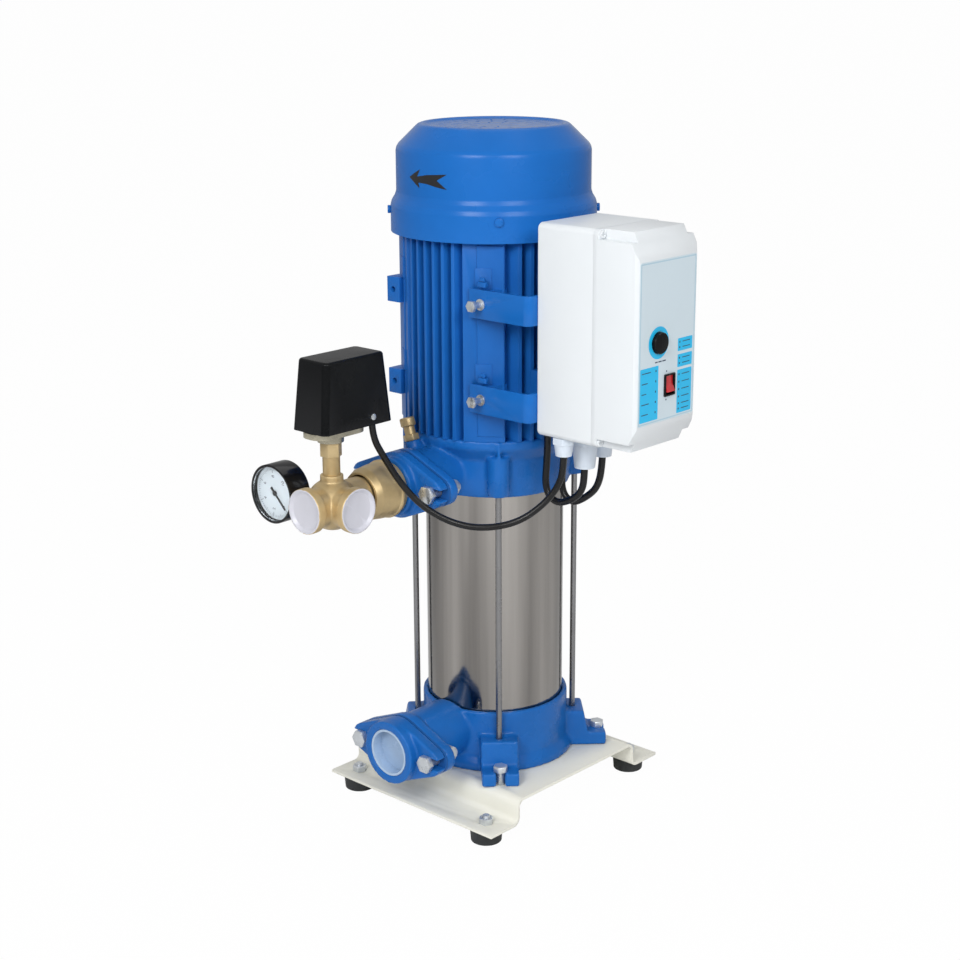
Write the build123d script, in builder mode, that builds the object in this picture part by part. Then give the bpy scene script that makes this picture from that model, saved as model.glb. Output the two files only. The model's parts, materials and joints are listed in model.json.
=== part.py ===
from build123d import *
from math import cos, hypot, radians, sin
import os

# Vertical multistage pump set: a folded base on rubber feet, a cast pump with a steel sleeve,
# a fan-cooled motor on top, a strapped-on control box and a brass outlet group.
# Millimetres, +Z up. The shaft axis is X = Y = 0 and the rubber feet stand on Z = 0.
# -Y is the side of the suction and discharge ports, +X is the side of the control box.

os.makedirs("parts", exist_ok=True)

# ---------------------------------------------------------------- driving dimensions
# general clearances
slip = 0.1  # between parts that are assembled but don't move
running = 0.05  # radial clearance of a turning or sliding fit
gap = 0.3  # beside parts that move

# folded base
base_length = 231.0
base_depth = 266.8
deck_depth = 187.0
sheet = 3.0
flange_top = 18.0
deck_top = 43.0
bend_radius = 6.0

# feet and M8 fixings
foot_radius = 16.7
foot_inset_x = 23.7
foot_inset_y = 18.6
stud_radius = 4.0
stud_anchor = 10.0
stud_proud = 9.0
m8_flats = 13.0
m8_nut_height = 6.5

# pump bolting circles, both on the diagonals
foot_circle = 109.3
tie_circle = 82.6
tie_rod_radius = 3.0
tie_rod_grip = 38.0  # how far a rod screws into its upper boss

# pump barrel
sleeve_radius = 71.15
sleeve_wall = 1.2
sleeve_length = 247.7
ring_overlap = 8.7
casing_wall = 5.35
sleeve_seat = 55.0  # height of the sleeve's lower seat above the deck
cavity_radius = 64.0
floor_thickness = 9.0
foot_reach = 118.0
foot_thickness = 14.0
foot_width = 38.0
boss_height = 39.0

# ports
suction_height = 39.0  # port axis above the deck
suction_flange_face = 138.0
discharge_height = 23.0  # port axis above the discharge casing's rim
discharge_flange_face = 130.0
flange_thickness = 12.0
flange_body_radius = 33.0
flange_ear_radius = 15.0
flange_bolt_offset = 46.5
flange_bolt_radius = 5.0
m10_flats = 16.0
neck_radius = 28.0
port_bore = 20.0
gasket_thickness = 2.0
collar_radius = 32.7
suction_collar = 9.5
discharge_collar = 9.0
plug_radius = 24.4
plug_wall = 2.5
plug_depth = 15.0

# discharge casing
discharge_casing_height = 62.0
waist_radius = 80.0
motor_flange_radius = 92.0
motor_flange_height = 8.0
top_wall_height = 37.0  # underside of the wall that carries the seal, above the rim
top_wall = 8.0
lantern_radius = 50.0
tie_boss_radius = 11.0
tie_boss_height = 45.0
boss_rib_width = 3.0
boss_rib_reach = 8.5
vent_tilt = 18.0
vent_x = -9.0
vent_y = 100.0
vent_rise = 7.0  # the vent's seat above the top of the neck

# shaft and stages
pump_shaft_radius = 8.0
stages = 7
bowl_wall = 2.0
bowl_eye = 20.0
impeller_radius = 55.0
impeller_eye = 18.0
impeller_hub = 12.0
impeller_gap = 7.0
impeller_plate = 2.0

# motor
motor_height = 195.5
motor_core_radius = 80.0
fin_envelope = 93.5
fin_pitch = 11.1
fin_thickness = 3.2
stator_radius = 62.0
stator_height = 110.0
rotor_radius = 34.5
air_gap = 0.5
motor_shaft_radius = 12.0
drive_bearing_radius = 23.5
drive_journal = 10.0
drive_bearing_width = 14.0
fan_bearing_radius = 20.0
fan_journal = 8.5
fan_bearing_width = 12.0
end_wall = 18.0
coupling_radius = 16.0
coupling_depth = 15.0
lug_heights = (444.5, 537.5)
lug_x = (52.0, 69.0)
lug_face = 82.0
lug_size = 25.0
lug_hole_x = 61.0
pad_angle = 54.0
pad_distance = 91.3
pad_width = 40.5
boss_reach = 112.0
boss_bottom = 422.0

# fan and cover
cover_wall = 1.6
skirt_radius = 102.2
cover_radius = 96.4
skirt_height = 27.5
skirt_step = 10.0
cover_screw_height = 20.5
cover_height = 82.2
cover_rise = 22.4
cover_top_radius = 64.6
dish_depth = 2.6
shield_height = 18.0
fan_radius = 82.0
fan_hub = 14.0
fan_start = 27.0
fan_height = 30.0
fan_blades = 7

# control box and straps
box_back = 122.0
box_seam = 188.3
lid_shoulder = 227.4
box_front = 239.1
box_y = -29.5
box_width = 91.0
box_bottom = 418.0
box_height = 202.0
box_wall = 2.5
box_corner = 6.0
panel_height = 155.0
rim_depth = 13.0
pocket = 9.0
pocket_floor = 6.0
post_length = 20.0
side_chamfer = 3.0
strap_thickness = 4.0
strap_height = 28.0
strap_end = 46.0
strap_bend = 8.0
strap_screw_standoff = 11.0
gland_x = 145.5
gland_y = (-62.5, -31.0, -3.5)
gland_radius = (10.0, 13.0, 11.0)
gland_drop = (18.0, 36.0, 30.0)
label_thickness = 0.4
label_width = 84.0
label_height = 150.0
button_y = -42.5
button_z = 518.5
button_radius = 10.0
button_travel = 3.0
rocker_y = -25.6
rocker_z = 477.0
rocker_rest = 12.0
capacitor_radius = 20.0
capacitor_length = 90.0

# outlet group
outlet_y = 227.0
outlet_reach = 36.2
outlet_radius = 19.0
outlet_lip = 21.8
outlet_bore = 16.7
outlet_plug = 19.8
valve_radius = 27.0
valve_rib = 29.0
valve_seat_bore = 14.0
valve_chamber = 22.0
valve_travel = 6.0
riser_radius = 8.3
riser_flats = 18.0
switch_centre_y = 211.0
switch_bottom = 434.0
switch_height = 67.0
switch_foot = (46.0, 88.0)
switch_crown = (40.4, 74.8)
switch_wall = 2.2
gauge_x = -67.0
gauge_radius = 29.0
gauge_front = 245.0
gauge_depth = 26.0

# cables
switch_cable_radius = 3.25
lead_radius = 3.5
lead_rise_x = 98.5

# ---------------------------------------------------------------- derived levels and places
sleeve_bottom = deck_top + sleeve_seat
sleeve_top = sleeve_bottom + sleeve_length
suction_rim = sleeve_bottom + ring_overlap
discharge_rim = sleeve_top - ring_overlap
casing_radius = sleeve_radius + casing_wall
suction_z = deck_top + suction_height
discharge_z = discharge_rim + discharge_height
motor_base = discharge_rim + discharge_casing_height
motor_top = motor_base + motor_height
seal_wall = discharge_rim + top_wall_height
stage_pitch = sleeve_length / stages
foot_x = base_length / 2 - foot_inset_x
foot_y = base_depth / 2 - foot_inset_y
cover_shoulder = motor_top + cover_height
cover_top = cover_shoulder + cover_rise
box_mid = box_bottom + box_height / 2
gauge_z = discharge_z
diagonals = (45, 135, 225, 315)
foot_spots = [(foot_x * i, foot_y * j) for i in (-1, 1) for j in (-1, 1)]


def on_circle(radius, angle):
    """A point of the XY plane at this radius and angle."""
    return (radius * cos(radians(angle)), radius * sin(radians(angle)))


foot_bolt_spots = [on_circle(foot_circle, a) for a in diagonals]
tie_spots = [on_circle(tie_circle, a) for a in diagonals]
flange_spots = ((-flange_bolt_offset, 0), (flange_bolt_offset, 0))


def radial_plane(angle):
    """The upright plane through the shaft axis, its X pointing outwards at this angle."""
    a = radians(angle)
    return Plane(origin=(0, 0, 0), x_dir=(cos(a), sin(a), 0), z_dir=(sin(a), -cos(a), 0))


def front_plane(distance, height):
    """The upright plane facing -Y at this distance, centred on a port's axis."""
    return Plane(origin=(0, -distance, height), x_dir=(1, 0, 0), z_dir=(0, -1, 0))


def outward_plane(radius, angle, height):
    """The upright plane facing away from the shaft axis at this radius and angle."""
    a = radians(angle)
    return Plane(origin=(radius * cos(a), radius * sin(a), height), x_dir=(-sin(a), cos(a), 0), z_dir=(cos(a), sin(a), 0))


def side_plane(x, y, height):
    """The upright plane facing +X, its X along +Y and its Y along +Z."""
    return Plane(origin=(x, y, height), x_dir=(0, 1, 0), z_dir=(1, 0, 0))


def hexagon(flats):
    """A hexagon across these flats, in the current sketch."""
    return RegularPolygon(radius=flats / 2, side_count=6, major_radius=False)


def rhomb():
    """The flange outline: a round body and two ears, in the current sketch."""
    Circle(flange_body_radius)
    with Locations(*flange_spots):
        Circle(flange_ear_radius)
    make_hull()


def finish(part, name):
    """Label a finished piece and write its STEP file."""
    part.label = name
    export_step(part, f"parts/{name}.step")


# ---------------------------------------------------------------- base
with BuildPart() as base_frame:
    half = base_depth / 2
    web = deck_depth / 2
    with BuildSketch(Plane.YZ.offset(-base_length / 2)) as hat_section:
        with BuildLine():
            FilletPolyline(
                (-half, flange_top), (-web, flange_top), (-web, deck_top),
                (web, deck_top), (web, flange_top), (half, flange_top),
                radius=[bend_radius, bend_radius + sheet, bend_radius + sheet, bend_radius],
            )
            FilletPolyline(
                (-half, flange_top - sheet), (-web + sheet, flange_top - sheet),
                (-web + sheet, deck_top - sheet), (web - sheet, deck_top - sheet),
                (web - sheet, flange_top - sheet), (half, flange_top - sheet),
                radius=[bend_radius + sheet, bend_radius, bend_radius, bend_radius + sheet],
            )
            Line((-half, flange_top), (-half, flange_top - sheet))
            Line((half, flange_top), (half, flange_top - sheet))
        make_face()
    extrude(amount=base_length)
    with BuildSketch(Plane.XY):
        with Locations(*foot_spots, *foot_bolt_spots):
            Circle(stud_radius + slip)
    extrude(amount=deck_top + 1, mode=Mode.SUBTRACT)
finish(base_frame.part, "base_frame")

with BuildPart() as rubber_feet:
    foot_height = flange_top - sheet
    with Locations(*[(x, y, foot_height / 2) for x, y in foot_spots]):
        Cone(foot_radius - 1.2, foot_radius, foot_height)
    fillet(rubber_feet.edges().filter_by(GeomType.CIRCLE).group_by(Axis.Z)[0], 1.2)
    with Locations(*[(x, y, foot_height) for x, y in foot_spots]):
        Hole(stud_radius + slip / 2, depth=stud_anchor)
finish(rubber_feet.part, "rubber_feet")

with BuildPart() as foot_studs:
    with BuildSketch(Plane.XY.offset(foot_height - stud_anchor)):
        with Locations(*foot_spots):
            Circle(stud_radius)
    extrude(amount=stud_anchor + sheet + stud_proud)
    chamfer(foot_studs.edges().group_by(Axis.Z)[-1], 0.8)
finish(foot_studs.part, "foot_studs")

with BuildPart() as m8_nuts:
    for level, spots in ((flange_top, foot_spots), (deck_top - sheet - m8_nut_height, foot_bolt_spots)):
        with BuildSketch(Plane.XY.offset(level)):
            with Locations(*spots):
                hexagon(m8_flats)
                Circle(stud_radius + slip / 2, mode=Mode.SUBTRACT)
        extrude(amount=m8_nut_height)
finish(m8_nuts.part, "m8_nuts")

foot_pad_top = deck_top + foot_thickness
with BuildPart() as pump_foot_bolts:
    with BuildSketch(Plane.XY.offset(foot_pad_top)):
        with Locations(*foot_bolt_spots):
            hexagon(m8_flats)
    extrude(amount=m8_nut_height)
    chamfer(pump_foot_bolts.edges().group_by(Axis.Z)[-1], 0.7)
    with BuildSketch(Plane.XY.offset(foot_pad_top)):
        with Locations(*foot_bolt_spots):
            Circle(stud_radius)
    extrude(amount=-(foot_thickness + sheet + m8_nut_height + 3))
finish(pump_foot_bolts.part, "pump_foot_bolts")

# ---------------------------------------------------------------- suction casing
with BuildPart() as suction_casing:
    with BuildSketch(Plane.XZ):
        with BuildLine():
            Polyline(
                (0, deck_top), (casing_radius + 6, deck_top), (casing_radius + 6, deck_top + 7),
                (casing_radius, deck_top + 15), (casing_radius, suction_rim), (0, suction_rim),
                close=True,
            )
        make_face()
    revolve(axis=Axis.Z)
    for angle in diagonals:
        with BuildSketch(radial_plane(angle)):
            with BuildLine():
                Polyline(
                    (cavity_radius, deck_top), (foot_reach, deck_top), (foot_reach, foot_pad_top),
                    (tie_circle + 16, foot_pad_top), (tie_circle + 11, deck_top + boss_height),
                    (cavity_radius, deck_top + boss_height), close=True,
                )
            make_face()
        extrude(amount=foot_width / 2, both=True)
    neck_face = suction_flange_face - flange_thickness
    with BuildSketch(front_plane(casing_radius - 16, suction_z)):
        Circle(neck_radius + 2)
    extrude(amount=neck_face - casing_radius + 16)
    with BuildSketch(front_plane(neck_face, suction_z)):
        rhomb()
    extrude(amount=flange_thickness)
    with BuildSketch(Plane.XZ, mode=Mode.PRIVATE) as suction_cavity:
        with BuildLine():
            Polyline(
                (0, deck_top + floor_thickness), (cavity_radius, deck_top + floor_thickness),
                (cavity_radius, sleeve_bottom), (sleeve_radius + slip, sleeve_bottom),
                (sleeve_radius + slip, suction_rim + 30), (0, suction_rim + 30), close=True,
            )
        make_face()
    revolve(suction_cavity.sketch, axis=Axis.Z, mode=Mode.SUBTRACT)
    with BuildSketch(front_plane(cavity_radius - 10, suction_z)):
        Circle(port_bore)
    extrude(amount=suction_flange_face, mode=Mode.SUBTRACT)
    with BuildSketch(Plane.XY.offset(deck_top + floor_thickness)):
        Circle(pump_shaft_radius + 8)
    extrude(amount=14)
    with BuildSketch(Plane.XY.offset(deck_top + floor_thickness)):
        Circle(pump_shaft_radius + running)
    extrude(amount=14, mode=Mode.SUBTRACT)
    with BuildSketch(front_plane(neck_face, suction_z)):
        with Locations(*flange_spots):
            Circle(flange_bolt_radius + gap)
    extrude(amount=flange_thickness, mode=Mode.SUBTRACT)
    for angle in diagonals:
        x_dir = (cos(radians(angle)), sin(radians(angle)), 0)
        with BuildSketch(Plane(origin=(0, 0, deck_top), x_dir=x_dir, z_dir=(0, 0, 1))):
            with Locations((foot_circle, 0)):
                Circle(stud_radius + gap)
            with Locations(((foot_circle + foot_reach + 1) / 2, 0)):
                Rectangle(foot_reach + 1 - foot_circle, 2 * (stud_radius + gap))
        extrude(amount=foot_thickness + 1, mode=Mode.SUBTRACT)
    with BuildSketch(Plane.XY.offset(deck_top + boss_height)):
        with Locations(*tie_spots):
            Circle(tie_rod_radius + slip / 2)
    extrude(amount=-20, mode=Mode.SUBTRACT)
finish(suction_casing.part, "suction_casing")

with BuildPart() as suction_counter_flange:
    inner_face = suction_flange_face + gasket_thickness
    with BuildSketch(front_plane(inner_face, suction_z)):
        rhomb()
    extrude(amount=flange_thickness)
    with BuildSketch(front_plane(inner_face + flange_thickness, suction_z)):
        Circle(collar_radius)
    extrude(amount=suction_collar)
    with BuildSketch(front_plane(inner_face, suction_z)):
        Circle(port_bore)
        for side in (-1, 1):
            with Locations((side * flange_bolt_offset, 0)):
                Circle(flange_bolt_radius + gap)
            with Locations((side * (flange_bolt_offset + 10), 0)):
                Rectangle(20, 2 * (flange_bolt_radius + gap))
    extrude(amount=flange_thickness + suction_collar, mode=Mode.SUBTRACT)
    suction_face = inner_face + flange_thickness + suction_collar
    with BuildSketch(front_plane(suction_face, suction_z)):
        Circle(plug_radius + slip)
    extrude(amount=-(plug_depth + 1), mode=Mode.SUBTRACT)
finish(suction_counter_flange.part, "suction_counter_flange")

with BuildPart() as suction_plug:
    with BuildSketch(front_plane(suction_face - 0.6, suction_z)):
        Circle(plug_radius)
    extrude(amount=-plug_depth)
    with BuildSketch(front_plane(suction_face - 0.6, suction_z)):
        Circle(plug_radius - plug_wall)
    extrude(amount=-(plug_depth - plug_wall), mode=Mode.SUBTRACT)
finish(suction_plug.part, "suction_plug")

# ---------------------------------------------------------------- barrel
with BuildPart() as outer_sleeve:
    with BuildSketch(Plane.XY.offset(sleeve_bottom)):
        Circle(sleeve_radius)
        Circle(sleeve_radius - sleeve_wall, mode=Mode.SUBTRACT)
    extrude(amount=sleeve_length)
finish(outer_sleeve.part, "outer_sleeve")

# ---------------------------------------------------------------- discharge casing
with BuildPart() as discharge_casing:
    flare_start = motor_base - motor_flange_height - 14
    with BuildSketch(Plane.XZ):
        with BuildLine():
            Polyline(
                (0, discharge_rim), (casing_radius, discharge_rim), (waist_radius, discharge_rim + 20),
                (waist_radius, flare_start), (motor_flange_radius, motor_base - motor_flange_height),
                (motor_flange_radius, motor_base), (0, motor_base), close=True,
            )
        make_face()
    revolve(axis=Axis.Z)
    with BuildSketch(Plane.XY.offset(discharge_rim + 5)):
        with Locations(*tie_spots):
            Circle(tie_boss_radius)
    extrude(amount=tie_boss_height - 5)
    with BuildSketch(Plane.XY.offset(discharge_rim + tie_boss_height - 1)):
        for angle in diagonals:
            with Locations(on_circle(tie_circle + 3, angle)):
                Rectangle(2 * boss_rib_reach, boss_rib_width, rotation=angle)
    extrude(amount=motor_base - discharge_rim - tie_boss_height)
    neck_end = discharge_flange_face - flange_thickness
    with BuildSketch(front_plane(casing_radius - 16, discharge_z)):
        Circle(neck_radius)
    extrude(amount=neck_end - casing_radius + 16)
    with BuildSketch(front_plane(neck_end, discharge_z)):
        rhomb()
    extrude(amount=flange_thickness)
    vent_dir = (-sin(radians(vent_tilt)), 0, cos(radians(vent_tilt)))
    vent_plane = Plane(origin=(vent_x, -vent_y, discharge_z), x_dir=(0, 1, 0), z_dir=vent_dir)
    with BuildSketch(vent_plane.offset(neck_radius - 8)):
        Circle(8.5)
    extrude(amount=8 + vent_rise)
    with BuildSketch(Plane.XZ, mode=Mode.PRIVATE) as discharge_cavity:
        with BuildLine():
            Polyline(
                (0, discharge_rim - 30), (sleeve_radius + slip, discharge_rim - 30),
                (sleeve_radius + slip, sleeve_top), (cavity_radius, sleeve_top),
                (cavity_radius, seal_wall), (0, seal_wall), close=True,
            )
        make_face()
    revolve(discharge_cavity.sketch, axis=Axis.Z, mode=Mode.SUBTRACT)
    with BuildSketch(Plane.XY.offset(seal_wall + top_wall)):
        Circle(lantern_radius)
    extrude(amount=motor_base - seal_wall, mode=Mode.SUBTRACT)
    with BuildSketch(Plane.XY.offset(seal_wall)):
        Circle(pump_shaft_radius + 3)
    extrude(amount=top_wall, mode=Mode.SUBTRACT)
    with BuildSketch(front_plane(cavity_radius - 12, discharge_z)):
        Circle(port_bore - 8)
    extrude(amount=discharge_flange_face, mode=Mode.SUBTRACT)
    with BuildSketch(front_plane(discharge_flange_face - 20, discharge_z)):
        Circle(port_bore)
    extrude(amount=20, mode=Mode.SUBTRACT)
    with BuildSketch(front_plane(neck_end, discharge_z)):
        with Locations(*flange_spots):
            Circle(flange_bolt_radius + gap)
    extrude(amount=flange_thickness, mode=Mode.SUBTRACT)
    with BuildSketch(Plane.XY.offset(discharge_rim)):
        with Locations(*tie_spots):
            Circle(tie_rod_radius + slip / 2)
    extrude(amount=tie_rod_grip, mode=Mode.SUBTRACT)
    with BuildSketch(vent_plane.offset(neck_radius + vent_rise)):
        Circle(5 + slip / 2)
    extrude(amount=-8, mode=Mode.SUBTRACT)
finish(discharge_casing.part, "discharge_casing")

with BuildPart() as discharge_counter_flange:
    outlet_flange = discharge_flange_face + gasket_thickness
    with BuildSketch(front_plane(outlet_flange, discharge_z)):
        rhomb()
    extrude(amount=flange_thickness)
    with BuildSketch(front_plane(outlet_flange + flange_thickness, discharge_z)):
        Circle(collar_radius - 3)
    extrude(amount=discharge_collar)
    with BuildSketch(front_plane(outlet_flange, discharge_z)):
        Circle(port_bore + slip)
        for side in (-1, 1):
            with Locations((side * flange_bolt_offset, 0)):
                Circle(flange_bolt_radius + gap)
            with Locations((side * (flange_bolt_offset + 10), 0)):
                Rectangle(20, 2 * (flange_bolt_radius + gap))
    extrude(amount=flange_thickness + discharge_collar, mode=Mode.SUBTRACT)
finish(discharge_counter_flange.part, "discharge_counter_flange")

with BuildPart() as flange_gaskets:
    for face, height in ((suction_flange_face, suction_z), (discharge_flange_face, discharge_z)):
        with BuildSketch(front_plane(face, height)):
            rhomb()
            Circle(port_bore, mode=Mode.SUBTRACT)
            with Locations(*flange_spots):
                Circle(flange_bolt_radius + gap, mode=Mode.SUBTRACT)
        extrude(amount=gasket_thickness)
finish(flange_gaskets.part, "flange_gaskets")

bolt_head = 6.5
with BuildPart() as flange_bolts:
    grip = 2 * flange_thickness + gasket_thickness
    for face, height in ((suction_flange_face, suction_z), (discharge_flange_face, discharge_z)):
        head_face = face + gasket_thickness + flange_thickness
        with BuildSketch(front_plane(head_face, height)):
            with Locations(*flange_spots):
                hexagon(m10_flats)
        extrude(amount=bolt_head)
        with BuildSketch(front_plane(head_face, height)):
            with Locations(*flange_spots):
                Circle(flange_bolt_radius)
        extrude(amount=-(grip + 13))
finish(flange_bolts.part, "flange_bolts")

with BuildPart() as flange_nuts:
    for face, height in ((suction_flange_face, suction_z), (discharge_flange_face, discharge_z)):
        with BuildSketch(front_plane(face - flange_thickness, height)):
            with Locations(*flange_spots):
                hexagon(m10_flats)
                Circle(flange_bolt_radius + slip / 2, mode=Mode.SUBTRACT)
        extrude(amount=-8)
finish(flange_nuts.part, "flange_nuts")

with BuildPart() as sleeve_seals:
    for level in (sleeve_bottom + 0.1, sleeve_top - 2.5):
        with BuildSketch(Plane.XY.offset(level)):
            Circle(sleeve_radius - sleeve_wall - slip)
            Circle(sleeve_radius - sleeve_wall - 2.4, mode=Mode.SUBTRACT)
        extrude(amount=2.4)
finish(sleeve_seals.part, "sleeve_seals")

with BuildPart() as tie_rods:
    rod_bottom = deck_top + boss_height - 18
    rod_top = discharge_rim + tie_rod_grip - 2
    with BuildSketch(Plane.XY.offset(rod_bottom)):
        with Locations(*tie_spots):
            Circle(tie_rod_radius)
    extrude(amount=rod_top - rod_bottom)
    chamfer(tie_rods.edges().group_by(Axis.Z)[-1], 0.6)
finish(tie_rods.part, "tie_rods")

vent_base = neck_radius + vent_rise
with BuildPart() as air_vent_body:
    with BuildSketch(vent_plane.offset(vent_base)):
        hexagon(14)
    extrude(amount=6)
    with BuildSketch(vent_plane.offset(vent_base + 6)):
        Circle(5.5)
    extrude(amount=8)
    with BuildSketch(vent_plane.offset(vent_base)):
        Circle(5)
    extrude(amount=-7.5)
    with BuildSketch(vent_plane.offset(vent_base - 7.5)):
        Circle(2)
    extrude(amount=14, mode=Mode.SUBTRACT)
    with BuildSketch(vent_plane.offset(vent_base + 14)):
        Circle(3 + running)
    extrude(amount=-7, mode=Mode.SUBTRACT)
finish(air_vent_body.part, "air_vent_body")

with BuildPart() as air_vent_screw:
    with BuildSketch(vent_plane.offset(vent_base + 14 + slip)):
        Circle(7.5)
    extrude(amount=9)
    chamfer(air_vent_screw.edges().filter_by(GeomType.CIRCLE), 1)
    with BuildSketch(vent_plane.offset(vent_base + 23 + slip)):
        Rectangle(16, 1.6)
    extrude(amount=-2.5, mode=Mode.SUBTRACT)
    with BuildSketch(vent_plane.offset(vent_base + 14 + slip)):
        Circle(3)
    extrude(amount=-6)
finish(air_vent_screw.part, "air_vent_screw")

# ---------------------------------------------------------------- shaft and stages
shaft_bottom = deck_top + floor_thickness + 3
coupling_bottom = seal_wall + top_wall + 3
pump_shaft_top = coupling_bottom + coupling_depth - 0.5
with BuildPart() as pump_shaft:
    with BuildSketch(Plane.XY.offset(shaft_bottom)):
        Circle(pump_shaft_radius)
    extrude(amount=pump_shaft_top - shaft_bottom)
    chamfer(pump_shaft.edges().filter_by(GeomType.CIRCLE), 0.8)
finish(pump_shaft.part, "pump_shaft")

with BuildPart() as stage_bowls:
    bowl_radius = sleeve_radius - sleeve_wall - slip
    for stage in range(stages):
        level = sleeve_bottom + stage * stage_pitch
        lip = 2.6 if stage in (0, stages - 1) else 0
        low = level + (lip if stage == 0 else 0)
        high = level + stage_pitch - (lip if stage == stages - 1 else 0) - 0.05
        with BuildSketch(Plane.XY.offset(low)):
            Circle(bowl_radius)
            Circle(bowl_eye, mode=Mode.SUBTRACT)
        extrude(amount=bowl_wall)
        with BuildSketch(Plane.XY.offset(low + bowl_wall)):
            Circle(bowl_radius)
            Circle(bowl_radius - bowl_wall, mode=Mode.SUBTRACT)
        extrude(amount=high - low - bowl_wall)
        with BuildSketch(Plane.XY.offset(high - 12)):
            with PolarLocations((impeller_radius + bowl_radius) / 2 - 4, 8):
                Rectangle(bowl_radius - impeller_radius + 6, 1.6)
        extrude(amount=10)
finish(stage_bowls.part, "stage_bowls")

with BuildPart() as impellers:
    for stage in range(stages):
        level = sleeve_bottom + stage * stage_pitch + 7
        back = level + impeller_plate + impeller_gap
        with BuildSketch(Plane.XY.offset(level)):
            Circle(impeller_radius)
            Circle(impeller_eye, mode=Mode.SUBTRACT)
        extrude(amount=impeller_plate)
        with BuildSketch(Plane.XY.offset(back)):
            Circle(impeller_radius)
        extrude(amount=impeller_plate)
        with BuildSketch(Plane.XY.offset(level)):
            Circle(impeller_hub)
        extrude(amount=2 * impeller_plate + impeller_gap + 3)
        with BuildSketch(Plane.XY.offset(level + impeller_plate)):
            with PolarLocations(impeller_radius * 0.62, 6):
                Rectangle(impeller_radius * 0.62, 2, rotation=32)
        extrude(amount=impeller_gap)
        with BuildSketch(Plane.XY.offset(level - 1)):
            Circle(pump_shaft_radius + 0.02)
        extrude(amount=2 * impeller_plate + impeller_gap + 6, mode=Mode.SUBTRACT)
finish(impellers.part, "impellers")

with BuildPart() as mechanical_seal:
    with BuildSketch(Plane.XY.offset(seal_wall - 0.2 - 14)):
        Circle(pump_shaft_radius + 6)
        Circle(pump_shaft_radius + 0.02, mode=Mode.SUBTRACT)
    extrude(amount=14)
finish(mechanical_seal.part, "mechanical_seal")

# ---------------------------------------------------------------- motor
drive_pocket = motor_base + end_wall - drive_bearing_width
stator_bottom = motor_base + 42
stator_top = stator_bottom + stator_height
fan_pocket = motor_top + 2
with BuildPart() as motor_housing:
    with BuildSketch(Plane.XY.offset(motor_base)) as housing_section:
        fin_rows = [((i - 2.5) * fin_pitch, 90) for i in range(6)]
        fin_rows += [((i - 4.5) * fin_pitch, 0) for i in range(10)]
        for offset_from_axis, turn in fin_rows:
            spot = (offset_from_axis, 0) if turn else (0, offset_from_axis)
            with Locations(spot):
                Rectangle(2 * fin_envelope, fin_thickness, rotation=turn)
        for angle in (pad_angle, 180 - pad_angle, 180 + pad_angle, -pad_angle):
            with Locations(Location(on_circle(pad_distance - 15, angle), angle)):
                Rectangle(30, pad_width)
        Circle(fin_envelope, mode=Mode.INTERSECT)
        Circle(motor_core_radius)
        Circle(stator_radius, mode=Mode.SUBTRACT)
    extrude(amount=motor_height)
    with BuildSketch(Plane.XY.offset(motor_base)):
        Circle(stator_radius + 1)
    extrude(amount=end_wall)
    for level in lug_heights:
        with BuildSketch(Plane.XY.offset(level - lug_size / 2)):
            for i, j in ((-1, -1), (-1, 1), (1, -1), (1, 1)):
                with Locations((i * sum(lug_x) / 2, j * (lug_face + 58) / 2)):
                    Rectangle(lug_x[1] - lug_x[0], lug_face - 58)
        extrude(amount=lug_size)
        for angle in (pad_angle, 180 - pad_angle, 180 + pad_angle, -pad_angle):
            with BuildSketch(outward_plane(pad_distance - 4, angle, level + lug_size / 2 + 10)):
                Rectangle(16, 20)
            extrude(amount=6)
        for side in (-1, 1):
            with BuildSketch(Plane(origin=(0, side * lug_face, level), x_dir=(1, 0, 0), z_dir=(0, side, 0))):
                with Locations((-lug_hole_x, 0), (lug_hole_x, 0)):
                    Circle(3 + slip / 2)
            extrude(amount=-12, mode=Mode.SUBTRACT)
    with BuildSketch(Plane.XY.offset(boss_bottom)):
        with Locations(((boss_reach + 70) / 2, -17)):
            RectangleRounded(boss_reach - 70, 46, 6)
    extrude(amount=48)
    with BuildSketch(Plane.XY.offset(boss_bottom)):
        with Locations((lead_rise_x, gland_y[1]), (lead_rise_x, gland_y[2])):
            Circle(lead_radius + slip)
    extrude(amount=8, mode=Mode.SUBTRACT)
    with BuildSketch(Plane.XY.offset(motor_base)):
        Circle(stator_radius)
    extrude(amount=motor_height, mode=Mode.SUBTRACT)
    with BuildSketch(Plane.XY.offset(motor_base)):
        Circle(stator_radius + 1)
    extrude(amount=end_wall)
    with BuildSketch(Plane.XY.offset(motor_base)):
        Circle(coupling_radius + gap)
    extrude(amount=end_wall, mode=Mode.SUBTRACT)
    with BuildSketch(Plane.XY.offset(drive_pocket)):
        Circle(drive_bearing_radius + 0.01)
    extrude(amount=drive_bearing_width + 1, mode=Mode.SUBTRACT)
finish(motor_housing.part, "motor_housing")

with BuildPart() as stator_core:
    with BuildSketch(Plane.XY.offset(stator_bottom)):
        Circle(stator_radius - 0.02)
        Circle(rotor_radius + air_gap, mode=Mode.SUBTRACT)
        with PolarLocations(rotor_radius + 10, 24):
            Circle(2.6, mode=Mode.SUBTRACT)
    extrude(amount=stator_height)
finish(stator_core.part, "stator_core")

with BuildPart() as stator_windings:
    for level in (stator_bottom - 20, stator_top):
        with BuildSketch(Plane.XY.offset(level)):
            Circle(rotor_radius + 20)
            Circle(rotor_radius + 4, mode=Mode.SUBTRACT)
        extrude(amount=20)
    fillet(stator_windings.edges().filter_by(GeomType.CIRCLE).group_by(Axis.Z)[0], 4)
    fillet(stator_windings.edges().filter_by(GeomType.CIRCLE).group_by(Axis.Z)[-1], 4)
finish(stator_windings.part, "stator_windings")

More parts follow.
